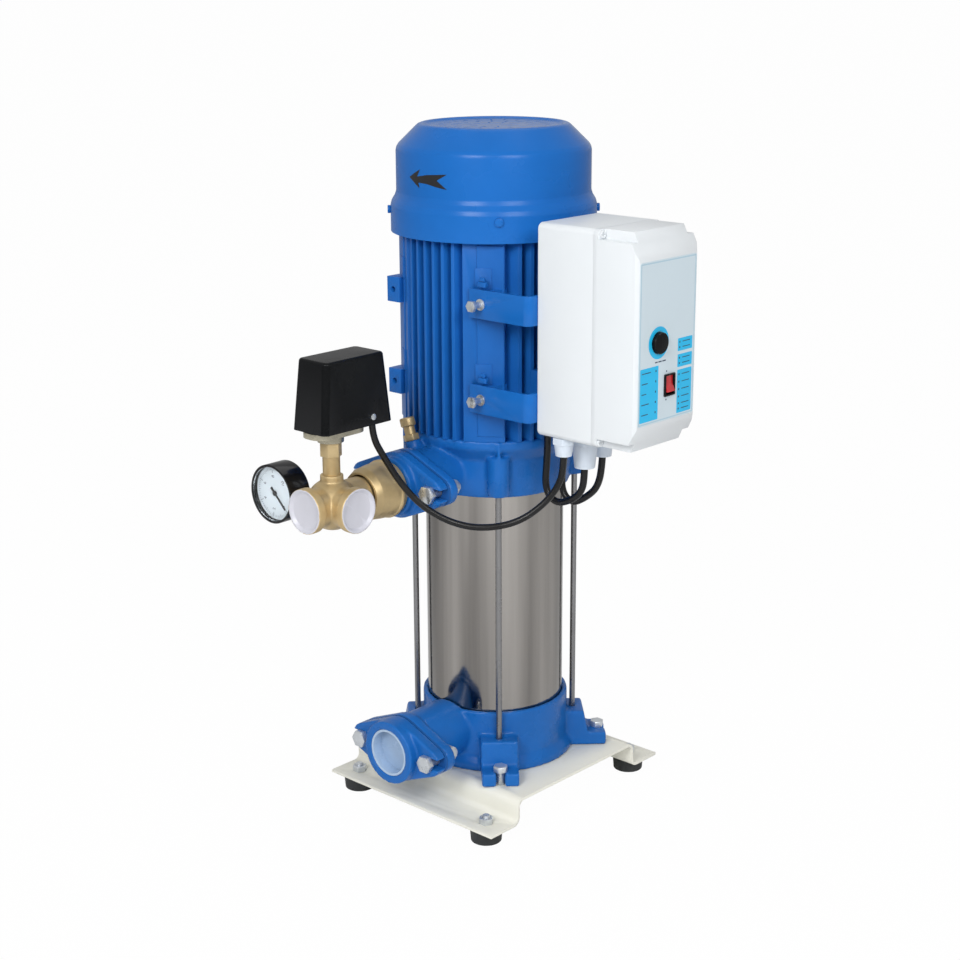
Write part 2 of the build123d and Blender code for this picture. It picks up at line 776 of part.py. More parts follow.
with BuildPart() as rotor_core:
    with BuildSketch(Plane.XY.offset(stator_bottom)):
        Circle(rotor_radius)
        Circle(motor_shaft_radius + 0.02, mode=Mode.SUBTRACT)
    extrude(amount=stator_height)
    for level in (stator_bottom - 8, stator_top):
        with BuildSketch(Plane.XY.offset(level)):
            Circle(rotor_radius - 1)
            Circle(rotor_radius - 9, mode=Mode.SUBTRACT)
        extrude(amount=8)
finish(rotor_core.part, "rotor_core")

fan_bottom = motor_top + fan_start
with BuildPart() as motor_shaft:
    journal_top = motor_base + end_wall
    steps = (
        (coupling_bottom, drive_pocket - 0.5, coupling_radius),
        (drive_pocket - 0.5, journal_top, drive_journal),
        (journal_top, motor_top - 4, motor_shaft_radius),
        (motor_top - 4, fan_bottom + fan_height, fan_journal),
    )
    for low, high, radius in steps:
        with BuildSketch(Plane.XY.offset(low)):
            Circle(radius)
        extrude(amount=high - low)
    with BuildSketch(Plane.XY.offset(coupling_bottom)):
        Circle(pump_shaft_radius + 0.02)
    extrude(amount=coupling_depth, mode=Mode.SUBTRACT)
finish(motor_shaft.part, "motor_shaft")

with BuildPart() as motor_bearings:
    bearing_rows = (
        (drive_pocket, drive_bearing_width, drive_bearing_radius, drive_journal),
        (fan_pocket, fan_bearing_width, fan_bearing_radius, fan_journal),
    )
    for level, width, outer, bore in bearing_rows:
        with BuildSketch(Plane.XY.offset(level)):
            Circle(outer)
            Circle(bore + running, mode=Mode.SUBTRACT)
        extrude(amount=width)
        for face, depth in ((level, 1.2), (level + width, -1.2)):
            with BuildSketch(Plane.XY.offset(face)):
                Circle(outer - 3)
                Circle(bore + 4, mode=Mode.SUBTRACT)
            extrude(amount=depth, mode=Mode.SUBTRACT)
finish(motor_bearings.part, "motor_bearings")

with BuildPart() as motor_end_shield:
    shield_radius = skirt_radius - cover_wall - slip
    with BuildSketch(Plane.XY.offset(motor_top)):
        Circle(shield_radius)
    extrude(amount=8)
    with BuildSketch(Plane.XY.offset(motor_top + 8)):
        Circle(fan_bearing_radius + 8)
    extrude(amount=shield_height - 8)
    with BuildSketch(Plane.XY.offset(motor_top + 8)):
        Circle(shield_radius)
        Circle(shield_radius - 6, mode=Mode.SUBTRACT)
    extrude(amount=skirt_height - 9)
    with BuildSketch(Plane.XY.offset(motor_top)):
        Circle(fan_bearing_radius + 0.01)
    extrude(amount=fan_pocket + fan_bearing_width - motor_top, mode=Mode.SUBTRACT)
    with BuildSketch(Plane.XY.offset(motor_top)):
        Circle(fan_journal + gap)
    extrude(amount=shield_height, mode=Mode.SUBTRACT)
    for angle in diagonals:
        with BuildSketch(outward_plane(shield_radius, angle, motor_top + cover_screw_height)):
            Circle(2 + slip / 2)
        extrude(amount=-5, mode=Mode.SUBTRACT)
finish(motor_end_shield.part, "motor_end_shield")

with BuildPart() as cooling_fan:
    with BuildSketch(Plane.XY.offset(fan_bottom)):
        Circle(fan_radius)
    extrude(amount=2.5)
    with BuildSketch(Plane.XY.offset(fan_bottom)):
        Circle(fan_hub)
    extrude(amount=fan_height - 2)
    with BuildSketch(Plane.XY.offset(fan_bottom + 1)):
        with PolarLocations((fan_hub + fan_radius) / 2 - 3, fan_blades):
            Rectangle(fan_radius - fan_hub + 2, 2.5)
    extrude(amount=fan_height - 5)
    with BuildSketch(Plane.XY.offset(fan_bottom)):
        Circle(fan_journal + 0.02)
    extrude(amount=fan_height, mode=Mode.SUBTRACT)
finish(cooling_fan.part, "cooling_fan")

with BuildPart() as fan_cover:
    with BuildSketch(Plane.XZ):
        with BuildLine():
            Polyline(
                (skirt_radius - cover_wall, motor_top), (skirt_radius, motor_top),
                (skirt_radius, motor_top + skirt_height),
                (cover_radius, motor_top + skirt_height + skirt_step),
                (cover_radius, cover_shoulder), (cover_top_radius, cover_top),
                (cover_top_radius - 5, cover_top - dish_depth), (0, cover_top - dish_depth),
                (0, cover_top - dish_depth - cover_wall),
                (cover_top_radius - 5, cover_top - dish_depth - cover_wall),
                (cover_top_radius - 2, cover_top - cover_wall),
                (cover_radius - cover_wall, cover_shoulder - cover_wall),
                (cover_radius - cover_wall, motor_top + skirt_height + skirt_step),
                (skirt_radius - cover_wall, motor_top + skirt_height), close=True,
            )
        make_face()
    revolve(axis=Axis.Z)
    with BuildSketch(Plane.XY.offset(cover_top - 8)):
        for ring, count in ((22, 10), (38, 16), (52, 24)):
            with PolarLocations(ring, count):
                SlotOverall(9, 2.6)
    extrude(amount=12, mode=Mode.SUBTRACT)
    for angle in diagonals:
        with BuildSketch(outward_plane(skirt_radius + 1, angle, motor_top + cover_screw_height)):
            Circle(2 + slip)
        extrude(amount=-4, mode=Mode.SUBTRACT)
finish(fan_cover.part, "fan_cover")

with BuildPart() as fan_cover_screws:
    for angle in diagonals:
        with BuildSketch(outward_plane(skirt_radius, angle, motor_top + cover_screw_height)):
            Circle(4)
        extrude(amount=3)
        with BuildSketch(outward_plane(skirt_radius, angle, motor_top + cover_screw_height)):
            Circle(2)
        extrude(amount=-6)
finish(fan_cover_screws.part, "fan_cover_screws")

# ---------------------------------------------------------------- outlet group
counter_end = discharge_flange_face + gasket_thickness + flange_thickness + discharge_collar
rib_at = counter_end + 5
chamber_start = counter_end + 9
valve_shoulder = counter_end + 28
rear_face = outlet_y - outlet_reach
with BuildPart() as check_valve_body:
    with BuildSketch(front_plane(counter_end, discharge_z)):
        Circle(port_bore - slip / 2)
    extrude(amount=-12)
    steps = (
        (counter_end, valve_shoulder, valve_radius),
        (rib_at, rib_at + 4, valve_rib),
        (valve_shoulder, rear_face, outlet_lip),
    )
    for start, end, radius in steps:
        with BuildSketch(front_plane(start, discharge_z)):
            Circle(radius)
        extrude(amount=end - start)
    chamber_end = chamber_start + 15
    bores = (
        (counter_end - 12, chamber_start, valve_seat_bore),
        (chamber_start, chamber_end, valve_chamber),
        (chamber_end, rear_face, 11),
        (rear_face - 9, rear_face, outlet_bore),
    )
    for start, end, radius in bores:
        with BuildSketch(front_plane(start, discharge_z)):
            Circle(radius)
        extrude(amount=end - start, mode=Mode.SUBTRACT)
finish(check_valve_body.part, "check_valve_body")

disc_thickness = 2.5
with BuildPart() as check_valve_disc:
    with BuildSketch(front_plane(chamber_start + gap, discharge_z)):
        Circle(valve_chamber - 3)
    extrude(amount=disc_thickness)
    with BuildSketch(front_plane(chamber_start + gap, discharge_z)):
        Rectangle(2 * valve_seat_bore, 3)
        Rectangle(3, 2 * valve_seat_bore)
        Circle(valve_seat_bore - gap, mode=Mode.INTERSECT)
    extrude(amount=-9)
finish(check_valve_disc.part, "check_valve_disc")

spring_start = chamber_start + gap + disc_thickness + 0.6
spring_length = chamber_end - spring_start - 0.6
with BuildPart() as check_valve_spring:
    with BuildLine() as coil:
        Helix(pitch=3.2, height=spring_length, radius=14, center=(0, -spring_start, discharge_z), direction=(0, -1, 0))
    with BuildSketch(Plane(origin=coil.line @ 0, z_dir=coil.line % 0)):
        Circle(0.5)
    sweep(is_frenet=True)
finish(check_valve_spring.part, "check_valve_spring")

with BuildPart() as five_way_body:
    with Locations((0, -outlet_y, discharge_z)):
        Sphere(25)
    arms = (
        (Plane(origin=(0, -outlet_y, discharge_z), x_dir=(0, 1, 0), z_dir=(1, 0, 0)), outlet_radius, outlet_lip),
        (Plane(origin=(0, -outlet_y, discharge_z), x_dir=(1, 0, 0), z_dir=(0, -1, 0)), outlet_radius, outlet_lip),
        (Plane(origin=(0, -outlet_y, discharge_z), x_dir=(1, 0, 0), z_dir=(0, 1, 0)), outlet_radius, outlet_radius),
    )
    for plane, stem, lip in arms:
        with BuildSketch(plane):
            Circle(stem)
        extrude(amount=outlet_reach)
        with BuildSketch(plane.offset(outlet_reach - 9)):
            Circle(lip)
        extrude(amount=9)
    with BuildSketch(front_plane(rear_face, discharge_z)):
        Circle(outlet_bore - slip / 2)
    extrude(amount=-8)
    with BuildSketch(Plane(origin=(0, -outlet_y, discharge_z), x_dir=(1, 0, 0), z_dir=(0, 0, 1))):
        Circle(11)
    extrude(amount=29)
    with BuildSketch(Plane(origin=(0, -outlet_y, discharge_z), x_dir=(0, 1, 0), z_dir=(-1, 0, 0))):
        Circle(11)
    extrude(amount=28)
    for plane, stem, lip in arms[:2]:
        with BuildSketch(plane):
            Circle(12)
        extrude(amount=outlet_reach, mode=Mode.SUBTRACT)
        with BuildSketch(plane.offset(outlet_reach)):
            Circle(outlet_bore)
        extrude(amount=-17, mode=Mode.SUBTRACT)
        with BuildSketch(plane.offset(outlet_reach)):
            Circle(outlet_plug + slip)
        extrude(amount=-2.8, mode=Mode.SUBTRACT)
    with BuildSketch(arms[2][0]):
        Circle(11)
    extrude(amount=outlet_reach + 9, mode=Mode.SUBTRACT)
    with BuildSketch(Plane(origin=(0, -outlet_y, discharge_z), x_dir=(1, 0, 0), z_dir=(0, 0, 1))):
        Circle(4)
    extrude(amount=30, mode=Mode.SUBTRACT)
    with BuildSketch(Plane(origin=(0, -outlet_y, discharge_z + 29), x_dir=(1, 0, 0), z_dir=(0, 0, -1))):
        Circle(6.5 + slip / 2)
    extrude(amount=11, mode=Mode.SUBTRACT)
    with BuildSketch(Plane(origin=(0, -outlet_y, discharge_z), x_dir=(0, 1, 0), z_dir=(-1, 0, 0))):
        Circle(3)
    extrude(amount=29, mode=Mode.SUBTRACT)
    with BuildSketch(Plane(origin=(-28, -outlet_y, discharge_z), x_dir=(0, 1, 0), z_dir=(1, 0, 0))):
        Circle(5 + slip / 2)
    extrude(amount=10, mode=Mode.SUBTRACT)
finish(five_way_body.part, "five_way_body")

with BuildPart() as outlet_plugs:
    for plane, stem, lip in arms[:2]:
        with BuildSketch(plane.offset(outlet_reach - 0.6)):
            Circle(outlet_plug)
        extrude(amount=-2.1)
        with BuildSketch(plane.offset(outlet_reach - 2.7)):
            Circle(outlet_bore - slip)
        extrude(amount=-12)
        with BuildSketch(plane.offset(outlet_reach - 14.7)):
            Circle(outlet_bore - 2)
        extrude(amount=11, mode=Mode.SUBTRACT)
finish(outlet_plugs.part, "outlet_plugs")

five_way_top = discharge_z + 29
hex_bottom = switch_bottom - 27
with BuildPart() as switch_riser:
    with BuildSketch(Plane.XY.offset(five_way_top)):
        with Locations((0, -outlet_y)):
            Circle(riser_radius)
    extrude(amount=hex_bottom - five_way_top)
    with BuildSketch(Plane.XY.offset(five_way_top)):
        with Locations((0, -outlet_y)):
            Circle(6.5)
    extrude(amount=-10)
    with BuildSketch(Plane.XY.offset(hex_bottom)):
        with Locations((0, -outlet_y)):
            hexagon(riser_flats)
    extrude(amount=14)
    with BuildSketch(Plane.XY.offset(five_way_top - 10)):
        with Locations((0, -outlet_y)):
            Circle(3)
    extrude(amount=hex_bottom - five_way_top + 24, mode=Mode.SUBTRACT)
finish(switch_riser.part, "switch_riser")

plate_bottom = switch_bottom - 1
diaphragm_radius = 12.5
diaphragm_plate = 5.5
with BuildPart() as switch_base:
    with BuildSketch(Plane.XY.offset(hex_bottom + 14)):
        with Locations((0, -outlet_y)):
            Circle(diaphragm_radius)
    extrude(amount=plate_bottom - hex_bottom - 14)
    with BuildSketch(Plane.XY.offset(plate_bottom - diaphragm_plate)):
        with Locations((0, -outlet_y + 4)):
            RectangleRounded(34, 62, 15)
    extrude(amount=diaphragm_plate)
    with BuildSketch(Plane.XY.offset(plate_bottom)):
        with Locations((0, -switch_centre_y)):
            RectangleRounded(switch_foot[0] - 2 * switch_wall - 1, switch_foot[1] - 2 * switch_wall - 1, 4)
    extrude(amount=4)
    with BuildSketch(Plane.XY.offset(hex_bottom + 14)):
        with Locations((0, -outlet_y)):
            Circle(3)
    extrude(amount=6, mode=Mode.SUBTRACT)
    cable_x = switch_foot[0] / 2 - 7
    cable_y = -switch_centre_y + 22
    with BuildSketch(Plane.XY.offset(hex_bottom + 10)):
        with Locations((cable_x, cable_y)):
            Circle(switch_cable_radius + slip)
    extrude(amount=40, mode=Mode.SUBTRACT)
finish(switch_base.part, "switch_base")

with BuildPart() as switch_cover:
    for inset, mode in ((0, Mode.ADD), (switch_wall, Mode.SUBTRACT)):
        with BuildSketch(Plane.XY.offset(switch_bottom)):
            with Locations((0, -switch_centre_y)):
                RectangleRounded(switch_foot[0] - 2 * inset, switch_foot[1] - 2 * inset, 6 - inset)
        with BuildSketch(Plane.XY.offset(switch_bottom + switch_height - inset)):
            with Locations((0, -switch_centre_y)):
                RectangleRounded(switch_crown[0] - 2 * inset, switch_crown[1] - 2 * inset, 6 - inset)
        loft(mode=mode)
        if mode == Mode.ADD:
            fillet(switch_cover.faces().sort_by(Axis.Z)[-1].edges(), 3)
    screw_y = -switch_centre_y + 17
    with BuildSketch(Plane.YZ.offset(switch_foot[0] / 2 + 1)):
        with Locations((screw_y, switch_bottom + 8)):
            Circle(1.5 + slip)
    extrude(amount=-8, mode=Mode.SUBTRACT)
finish(switch_cover.part, "switch_cover")

with BuildPart() as switch_cover_screw:
    with BuildSketch(Plane.YZ.offset(switch_foot[0] / 2 - 0.2)):
        with Locations((screw_y, switch_bottom + 8)):
            Circle(3)
    extrude(amount=1.8)
    with BuildSketch(Plane.YZ.offset(switch_foot[0] / 2 - 0.2)):
        with Locations((screw_y, switch_bottom + 8)):
            Circle(1.5)
    extrude(amount=-5)
finish(switch_cover_screw.part, "switch_cover_screw")

with BuildPart() as gauge_case:
    with BuildSketch(front_plane(gauge_front - gauge_depth, gauge_z)):
        with Locations((gauge_x, 0)):
            Circle(gauge_radius)
    extrude(amount=gauge_depth)
    fillet(gauge_case.edges().group_by(Axis.Y)[-1], 3)
    with BuildSketch(front_plane(gauge_front, gauge_z)):
        with Locations((gauge_x, 0)):
            Circle(gauge_radius - 2.3)
    extrude(amount=-7, mode=Mode.SUBTRACT)
    with BuildSketch(Plane(origin=(gauge_x + 20, -outlet_y, gauge_z), x_dir=(0, 1, 0), z_dir=(1, 0, 0))):
        Circle(6)
    extrude(amount=-28 - gauge_x - 20)
    with BuildSketch(Plane(origin=(-36, -outlet_y, gauge_z), x_dir=(0, 1, 0), z_dir=(1, 0, 0))):
        hexagon(13)
    extrude(amount=8)
    with BuildSketch(Plane(origin=(-28, -outlet_y, gauge_z), x_dir=(0, 1, 0), z_dir=(1, 0, 0))):
        Circle(5)
    extrude(amount=9)
finish(gauge_case.part, "gauge_case")

dial_face = gauge_front - 6
with BuildPart() as gauge_dial:
    with BuildSketch(front_plane(gauge_front - 7, gauge_z)):
        with Locations((gauge_x, 0)):
            Circle(gauge_radius - 2.5)
            Circle(1.5, mode=Mode.SUBTRACT)
    extrude(amount=1)
finish(gauge_dial.part, "gauge_dial")

with BuildPart() as gauge_needle:
    with BuildSketch(front_plane(dial_face + 0.5, gauge_z)):
        with Locations((gauge_x, 0)):
            Circle(2.6)
            Rectangle(20, 1.4, rotation=-45, align=(Align.MIN, Align.CENTER))
            Rectangle(7, 2, rotation=135, align=(Align.MIN, Align.CENTER))
    extrude(amount=1)
    with BuildSketch(front_plane(dial_face + 0.5, gauge_z)):
        with Locations((gauge_x, 0)):
            Circle(1.2)
    extrude(amount=-1.4)
finish(gauge_needle.part, "gauge_needle")

with BuildPart() as gauge_lens:
    with BuildSketch(front_plane(gauge_front - 2, gauge_z)):
        with Locations((gauge_x, 0)):
            Circle(gauge_radius - 2.4)
    extrude(amount=1.5)
finish(gauge_lens.part, "gauge_lens")

# ---------------------------------------------------------------- control box
box_top = box_bottom + box_height
corner_posts = [
    (i * (box_width - pocket) / 2, j * (box_height - pocket) / 2) for i in (-1, 1) for j in (-1, 1)
]
box_plane = side_plane(0, box_y, box_mid)
cross = pocket + box_wall


def box_cavity():
    """The hollow between the corner posts, in the current sketch."""
    Rectangle(box_width - 2 * box_wall, box_height - 2 * cross)
    Rectangle(box_width - 2 * cross, box_height - 2 * box_wall)


with BuildPart() as control_box_body:
    with BuildSketch(box_plane.offset(box_back)):
        RectangleRounded(box_width, box_height, box_corner)
    extrude(amount=box_seam - box_back)
    fillet(control_box_body.faces().sort_by(Axis.X)[0].edges(), 2)
    with BuildSketch(box_plane.offset(box_back + box_wall)):
        Rectangle(box_width - 2 * box_wall, box_height - 2 * box_wall)
    extrude(amount=box_seam - post_length - box_back - box_wall, mode=Mode.SUBTRACT)
    with BuildSketch(box_plane.offset(box_seam)):
        box_cavity()
    extrude(amount=-post_length, mode=Mode.SUBTRACT)
    with BuildSketch(box_plane.offset(box_seam)):
        with Locations(*corner_posts):
            Circle(2 + slip / 2)
    extrude(amount=-12, mode=Mode.SUBTRACT)
    with BuildSketch(Plane.XY.offset(box_bottom - 1)):
        for y, radius in zip(gland_y, gland_radius):
            with Locations((gland_x, y)):
                Circle(radius - 3 + slip)
    extrude(amount=box_wall + 2, mode=Mode.SUBTRACT)
finish(control_box_body.part, "control_box_body")

bezel_body = (14.4, 19.4)
with BuildPart() as control_box_lid:
    with BuildSketch(box_plane.offset(box_seam)):
        RectangleRounded(box_width, box_height, box_corner)
    extrude(amount=box_front - box_seam)
    inset = (box_height - panel_height) / 2
    with BuildSketch(Plane.XZ.offset(-box_y + box_width / 2 + 1)) as lid_wedges:
        for edge, inner in ((box_bottom - 1, box_bottom + inset), (box_top + 1, box_top - inset)):
            with BuildLine():
                Polyline(
                    (lid_shoulder, edge), (box_front + 1, edge), (box_front + 1, inner),
                    (box_front, inner), close=True,
                )
            make_face()
    extrude(amount=-box_width - 2, mode=Mode.SUBTRACT)
    panel_edges = control_box_lid.edges().group_by(Axis.X)[-1].filter_by(Axis.Z)
    chamfer(panel_edges, side_chamfer)
    with BuildSketch(box_plane.offset(box_seam + pocket_floor)):
        with Locations(*corner_posts):
            Rectangle(pocket + 0.02, pocket + 0.02)
    extrude(amount=box_front - box_seam, mode=Mode.SUBTRACT)
    with BuildSketch(box_plane.offset(box_seam)):
        box_cavity()
    extrude(amount=lid_shoulder - 2.5 - box_seam, mode=Mode.SUBTRACT)
    with BuildSketch(box_plane.offset(box_seam)):
        Rectangle(box_width - 2 * (box_wall + side_chamfer), panel_height)
    extrude(amount=box_front - box_wall - box_seam, mode=Mode.SUBTRACT)
    with BuildSketch(box_plane.offset(box_seam)):
        with Locations(*corner_posts):
            Circle(2 + slip)
    extrude(amount=pocket_floor + 1, mode=Mode.SUBTRACT)
    with BuildSketch(side_plane(box_front + 1, 0, 0)):
        with Locations((button_y, button_z)):
            Circle(button_radius + gap)
        with Locations((rocker_y, rocker_z)):
            Rectangle(bezel_body[0] + slip, bezel_body[1] + slip)
    extrude(amount=-box_wall - 2, mode=Mode.SUBTRACT)
finish(control_box_lid.part, "control_box_lid")

with BuildPart() as lid_screws:
    with BuildSketch(box_plane.offset(box_seam + pocket_floor)):
        with Locations(*corner_posts):
            Circle(3.6)
    extrude(amount=2.5)
    with BuildSketch(box_plane.offset(box_seam + pocket_floor)):
        with Locations(*corner_posts):
            Circle(2)
    extrude(amount=-16)
    with BuildSketch(box_plane.offset(box_seam + pocket_floor + 2.5)):
        with Locations(*corner_posts):
            Rectangle(5, 1)
            Rectangle(1, 5)
    extrude(amount=-1.2, mode=Mode.SUBTRACT)
finish(lid_screws.part, "lid_screws")

label_face = box_front + label_thickness
with BuildPart() as front_label:
    with BuildSketch(box_plane.offset(box_front)):
        RectangleRounded(label_width, label_height, 3)
    extrude(amount=label_thickness)
    with BuildSketch(side_plane(box_front, 0, 0)):
        with Locations((button_y, button_z)):
            Circle(button_radius + gap)
        with Locations((rocker_y, rocker_z)):
            Rectangle(bezel_body[0] + slip, bezel_body[1] + slip)
    extrude(amount=label_thickness, mode=Mode.SUBTRACT)
finish(front_label.part, "front_label")

rocker_pivot = box_front - 3.6
opening = (11.6, 17.8)
with BuildPart() as rocker_bezel:
    with BuildSketch(side_plane(label_face, rocker_y, rocker_z)):
        RectangleRounded(bezel_body[0] + 1.6, bezel_body[1] + 1.4, 1)
    extrude(amount=1.5)
    with BuildSketch(side_plane(label_face, rocker_y, rocker_z)):
        Rectangle(*bezel_body)
    extrude(amount=-13)
    with BuildSketch(side_plane(label_face + 1.5, rocker_y, rocker_z)):
        Rectangle(*opening)
    extrude(amount=-12.5, mode=Mode.SUBTRACT)
    with BuildSketch(Plane.XZ.offset(-rocker_y)):
        with Locations((rocker_pivot, rocker_z)):
            Circle(1.2 + gap)
    extrude(amount=bezel_body[0] / 2 - 0.4, both=True, mode=Mode.SUBTRACT)
finish(rocker_bezel.part, "rocker_bezel")

with BuildPart() as rocker:
    tilt_plane = Plane(
        origin=(rocker_pivot, rocker_y, rocker_z),
        x_dir=(cos(radians(rocker_rest)), 0, sin(radians(rocker_rest))), z_dir=(0, -1, 0),
    )
    with BuildSketch(tilt_plane):
        with BuildLine():
            Polyline(
                (-3, -4.5), (0, -6.5), (5.6, -7.6), (4.2, 0), (5.6, 7.6), (0, 6.5), (-3, 4.5), close=True
            )
        make_face()
    extrude(amount=opening[0] / 2 - gap, both=True)
    with BuildSketch(tilt_plane):
        Circle(1.2)
    extrude(amount=bezel_body[0] / 2 - 0.4 - gap, both=True)
finish(rocker.part, "rocker")

with BuildPart() as reset_button:
    with BuildSketch(side_plane(box_front - box_wall - 0.1, button_y, button_z)):
        Circle(button_radius + 2)
    extrude(amount=-2)
    with BuildSketch(side_plane(box_front - box_wall - 0.1, button_y, button_z)):
        Circle(button_radius)
    extrude(amount=box_wall + label_thickness + button_travel + 1.5)
    chamfer(reset_button.edges().filter_by(GeomType.CIRCLE).group_by(Axis.X)[-1], 0.8)
finish(reset_button.part, "reset_button")

with BuildPart() as cable_glands:
    cable_radii = (switch_cable_radius, lead_radius, lead_radius)
    for y, radius, drop, cable in zip(gland_y, gland_radius, gland_drop, cable_radii):
        with BuildSketch(Plane.XY.offset(box_bottom)):
            with Locations((gland_x, y)):
                hexagon(2 * radius - 1)
        extrude(amount=-drop * 0.35)
        with BuildSketch(Plane.XY.offset(box_bottom - drop * 0.35)):
            with Locations((gland_x, y)):
                Circle(radius - 0.5)
        extrude(amount=-drop * 0.65, taper=8 if drop < 20 else 6)
        with BuildSketch(Plane.XY.offset(box_bottom)):
            with Locations((gland_x, y)):
                Circle(radius - 3)
        extrude(amount=box_wall + 5)
        with BuildSketch(Plane.XY.offset(box_bottom + box_wall)):
            with Locations((gland_x, y)):
                hexagon(2 * radius - 2)
        extrude(amount=4)
        with BuildSketch(Plane.XY.offset(box_bottom - drop - 1)):
            with Locations((gland_x, y)):
                Circle(cable + slip)
        extrude(amount=drop + box_wall + 10, mode=Mode.SUBTRACT)
finish(cable_glands.part, "cable_glands")

with BuildPart() as run_capacitor:
    with BuildSketch(Plane.XY.offset(470)):
        with Locations((box_back + box_wall + slip + capacitor_radius, box_y)):
            Circle(capacitor_radius)
    extrude(amount=capacitor_length)
    with BuildSketch(Plane.XY.offset(470 + capacitor_length)):
        with Locations((box_back + box_wall + slip + capacitor_radius, box_y)):
            with GridLocations(14, 1, 2, 1):
                Rectangle(1, 6)
    extrude(amount=9)
finish(run_capacitor.part, "run_capacitor")

strap_face = lug_face + strap_thickness
with BuildPart() as box_straps:
    for level in lug_heights:
        with BuildSketch(Plane.XY.offset(level - strap_height / 2)):
            with BuildLine():
                FilletPolyline(
                    (strap_end, -strap_face), (box_back, -strap_face), (box_back, strap_face),
                    (strap_end, strap_face), radius=strap_bend,
                )
                FilletPolyline(
                    (strap_end, -lug_face), (box_back - strap_thickness, -lug_face),
                    (box_back - strap_thickness, lug_face), (strap_end, lug_face),
                    radius=strap_bend - strap_thickness,
                )
                Line((strap_end, -strap_face), (strap_end, -lug_face))
                Line((strap_end, strap_face), (strap_end, lug_face))
            make_face()
        extrude(amount=strap_height)
        with BuildSketch(Plane.XZ.offset(-strap_face - 1)):
            with Locations((lug_hole_x, level)):
                Circle(3 + gap)
        extrude(amount=2 * strap_face + 2, mode=Mode.SUBTRACT)
finish(box_straps.part, "box_straps")

with BuildPart() as strap_screws:
    for side in (-1, 1):
        for level in lug_heights:
            bar_plane = Plane(
                origin=(lug_hole_x, side * strap_face, level), x_dir=(1, 0, 0), z_dir=(0, side, 0)
            )
            with BuildSketch(bar_plane):
                Circle(5.5)
            extrude(amount=1.6)
            with BuildSketch(bar_plane.offset(strap_screw_standoff)):
                hexagon(10)
            extrude(amount=4)
            with BuildSketch(bar_plane.offset(strap_screw_standoff)):
                Circle(3)
            extrude(amount=-(strap_screw_standoff + strap_thickness + 11))
finish(strap_screws.part, "strap_screws")


# ---------------------------------------------------------------- cables
def cord_radii(points):
    """Bend radii for a run of points, each tied to its shorter neighbouring run."""
    radii = []
    for before, here, after in zip(points, points[1:], points[2:]):
        first = [b - a for a, b in zip(before, here)]
        second = [b - a for a, b in zip(here, after)]
        lengths = (hypot(*first), hypot(*second))
        cosine = sum(a * b for a, b in zip(first, second)) / (lengths[0] * lengths[1])
        half_turn = ((1 - cosine) / (1 + cosine)) ** 0.5
        radii.append(0.45 * min(lengths) / half_turn)
    return radii


def switch_route(along, height):
    """A point of the switch cable's upright plane, from the switch towards its gland."""
    end = (gland_x, gland_y[0])
    share = along / hypot(end[0] - cable_x, end[1] - cable_y)
    return (cable_x + share * (end[0] - cable_x), cable_y + share * (end[1] - cable_y), height)


switch_span = hypot(gland_x - cable_x, gland_y[0] - cable_y)
switch_heights = (
    (0, 440), (0, 421), (11, 400), (25, 376), (45, 352), (72, 335), (102, 328), (136, 333),
    (161, 350), (switch_span - 3.5, 371), (switch_span, 392), (switch_span, 412),
)
switch_points = [switch_route(along, height) for along, height in switch_heights]
auxiliary_points = [
    (x, gland_y[1], z)
    for x, z in (
        (145.5, 395), (145.5, 377), (146.2, 354.03), (132.17, 340), (112.33, 340),
        (98.3, 354.03), (98.9, 384), (98.5, 408), (98.5, 428),
    )
]
motor_points = [
    (x, gland_y[2], z)
    for x, z in (
        (145.5, 403), (145.5, 384), (146.2, 347.03), (132.17, 333), (112.33, 333),
        (98.3, 347.03), (98.9, 380), (98.5, 406), (98.5, 428),
    )
]


def cord(name, points, radius):
    """Sweep one cable along its points, print its bend radii and write its STEP file."""
    radii = cord_radii(points)
    with BuildPart() as cable:
        with BuildLine() as run:
            FilletPolyline(*points, radius=radii)
        with BuildSketch(Plane(origin=run.line @ 0, z_dir=run.line % 0)):
            Circle(radius)
        sweep()
    length = sum(edge.length for edge in run.edges())
    print(name, "length", round(length, 1), "radii", [round(r, 1) for r in radii])
    finish(cable.part, name)


cord("switch_cable", switch_points, switch_cable_radius)
cord("auxiliary_lead", auxiliary_points, lead_radius)
cord("motor_lead", motor_points, lead_radius)
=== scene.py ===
"""Looks of a vertical multistage pump set: paint, castings, brass, plastics, cables, prints and studio."""

from __future__ import annotations

import json
import logging
import math
from dataclasses import dataclass
from enum import Enum
from typing import Callable, Iterable, Sequence

import bpy
from mathutils import Matrix, Vector


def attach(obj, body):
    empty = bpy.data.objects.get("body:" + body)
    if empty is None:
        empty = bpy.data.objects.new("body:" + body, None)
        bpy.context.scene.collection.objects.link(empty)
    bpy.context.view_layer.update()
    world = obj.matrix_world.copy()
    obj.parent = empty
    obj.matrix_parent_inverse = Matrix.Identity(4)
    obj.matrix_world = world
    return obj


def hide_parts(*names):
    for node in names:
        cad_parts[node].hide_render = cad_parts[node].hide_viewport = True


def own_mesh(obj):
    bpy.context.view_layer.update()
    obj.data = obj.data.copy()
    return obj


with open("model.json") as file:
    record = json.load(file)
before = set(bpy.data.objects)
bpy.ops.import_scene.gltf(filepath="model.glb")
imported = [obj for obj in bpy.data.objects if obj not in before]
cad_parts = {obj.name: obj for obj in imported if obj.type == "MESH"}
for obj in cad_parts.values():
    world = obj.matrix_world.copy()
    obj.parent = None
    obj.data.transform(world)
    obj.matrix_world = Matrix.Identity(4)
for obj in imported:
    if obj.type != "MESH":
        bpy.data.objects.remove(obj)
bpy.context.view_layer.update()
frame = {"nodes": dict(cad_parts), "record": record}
LOG = logging.getLogger("pump_set")
MM = 0.001
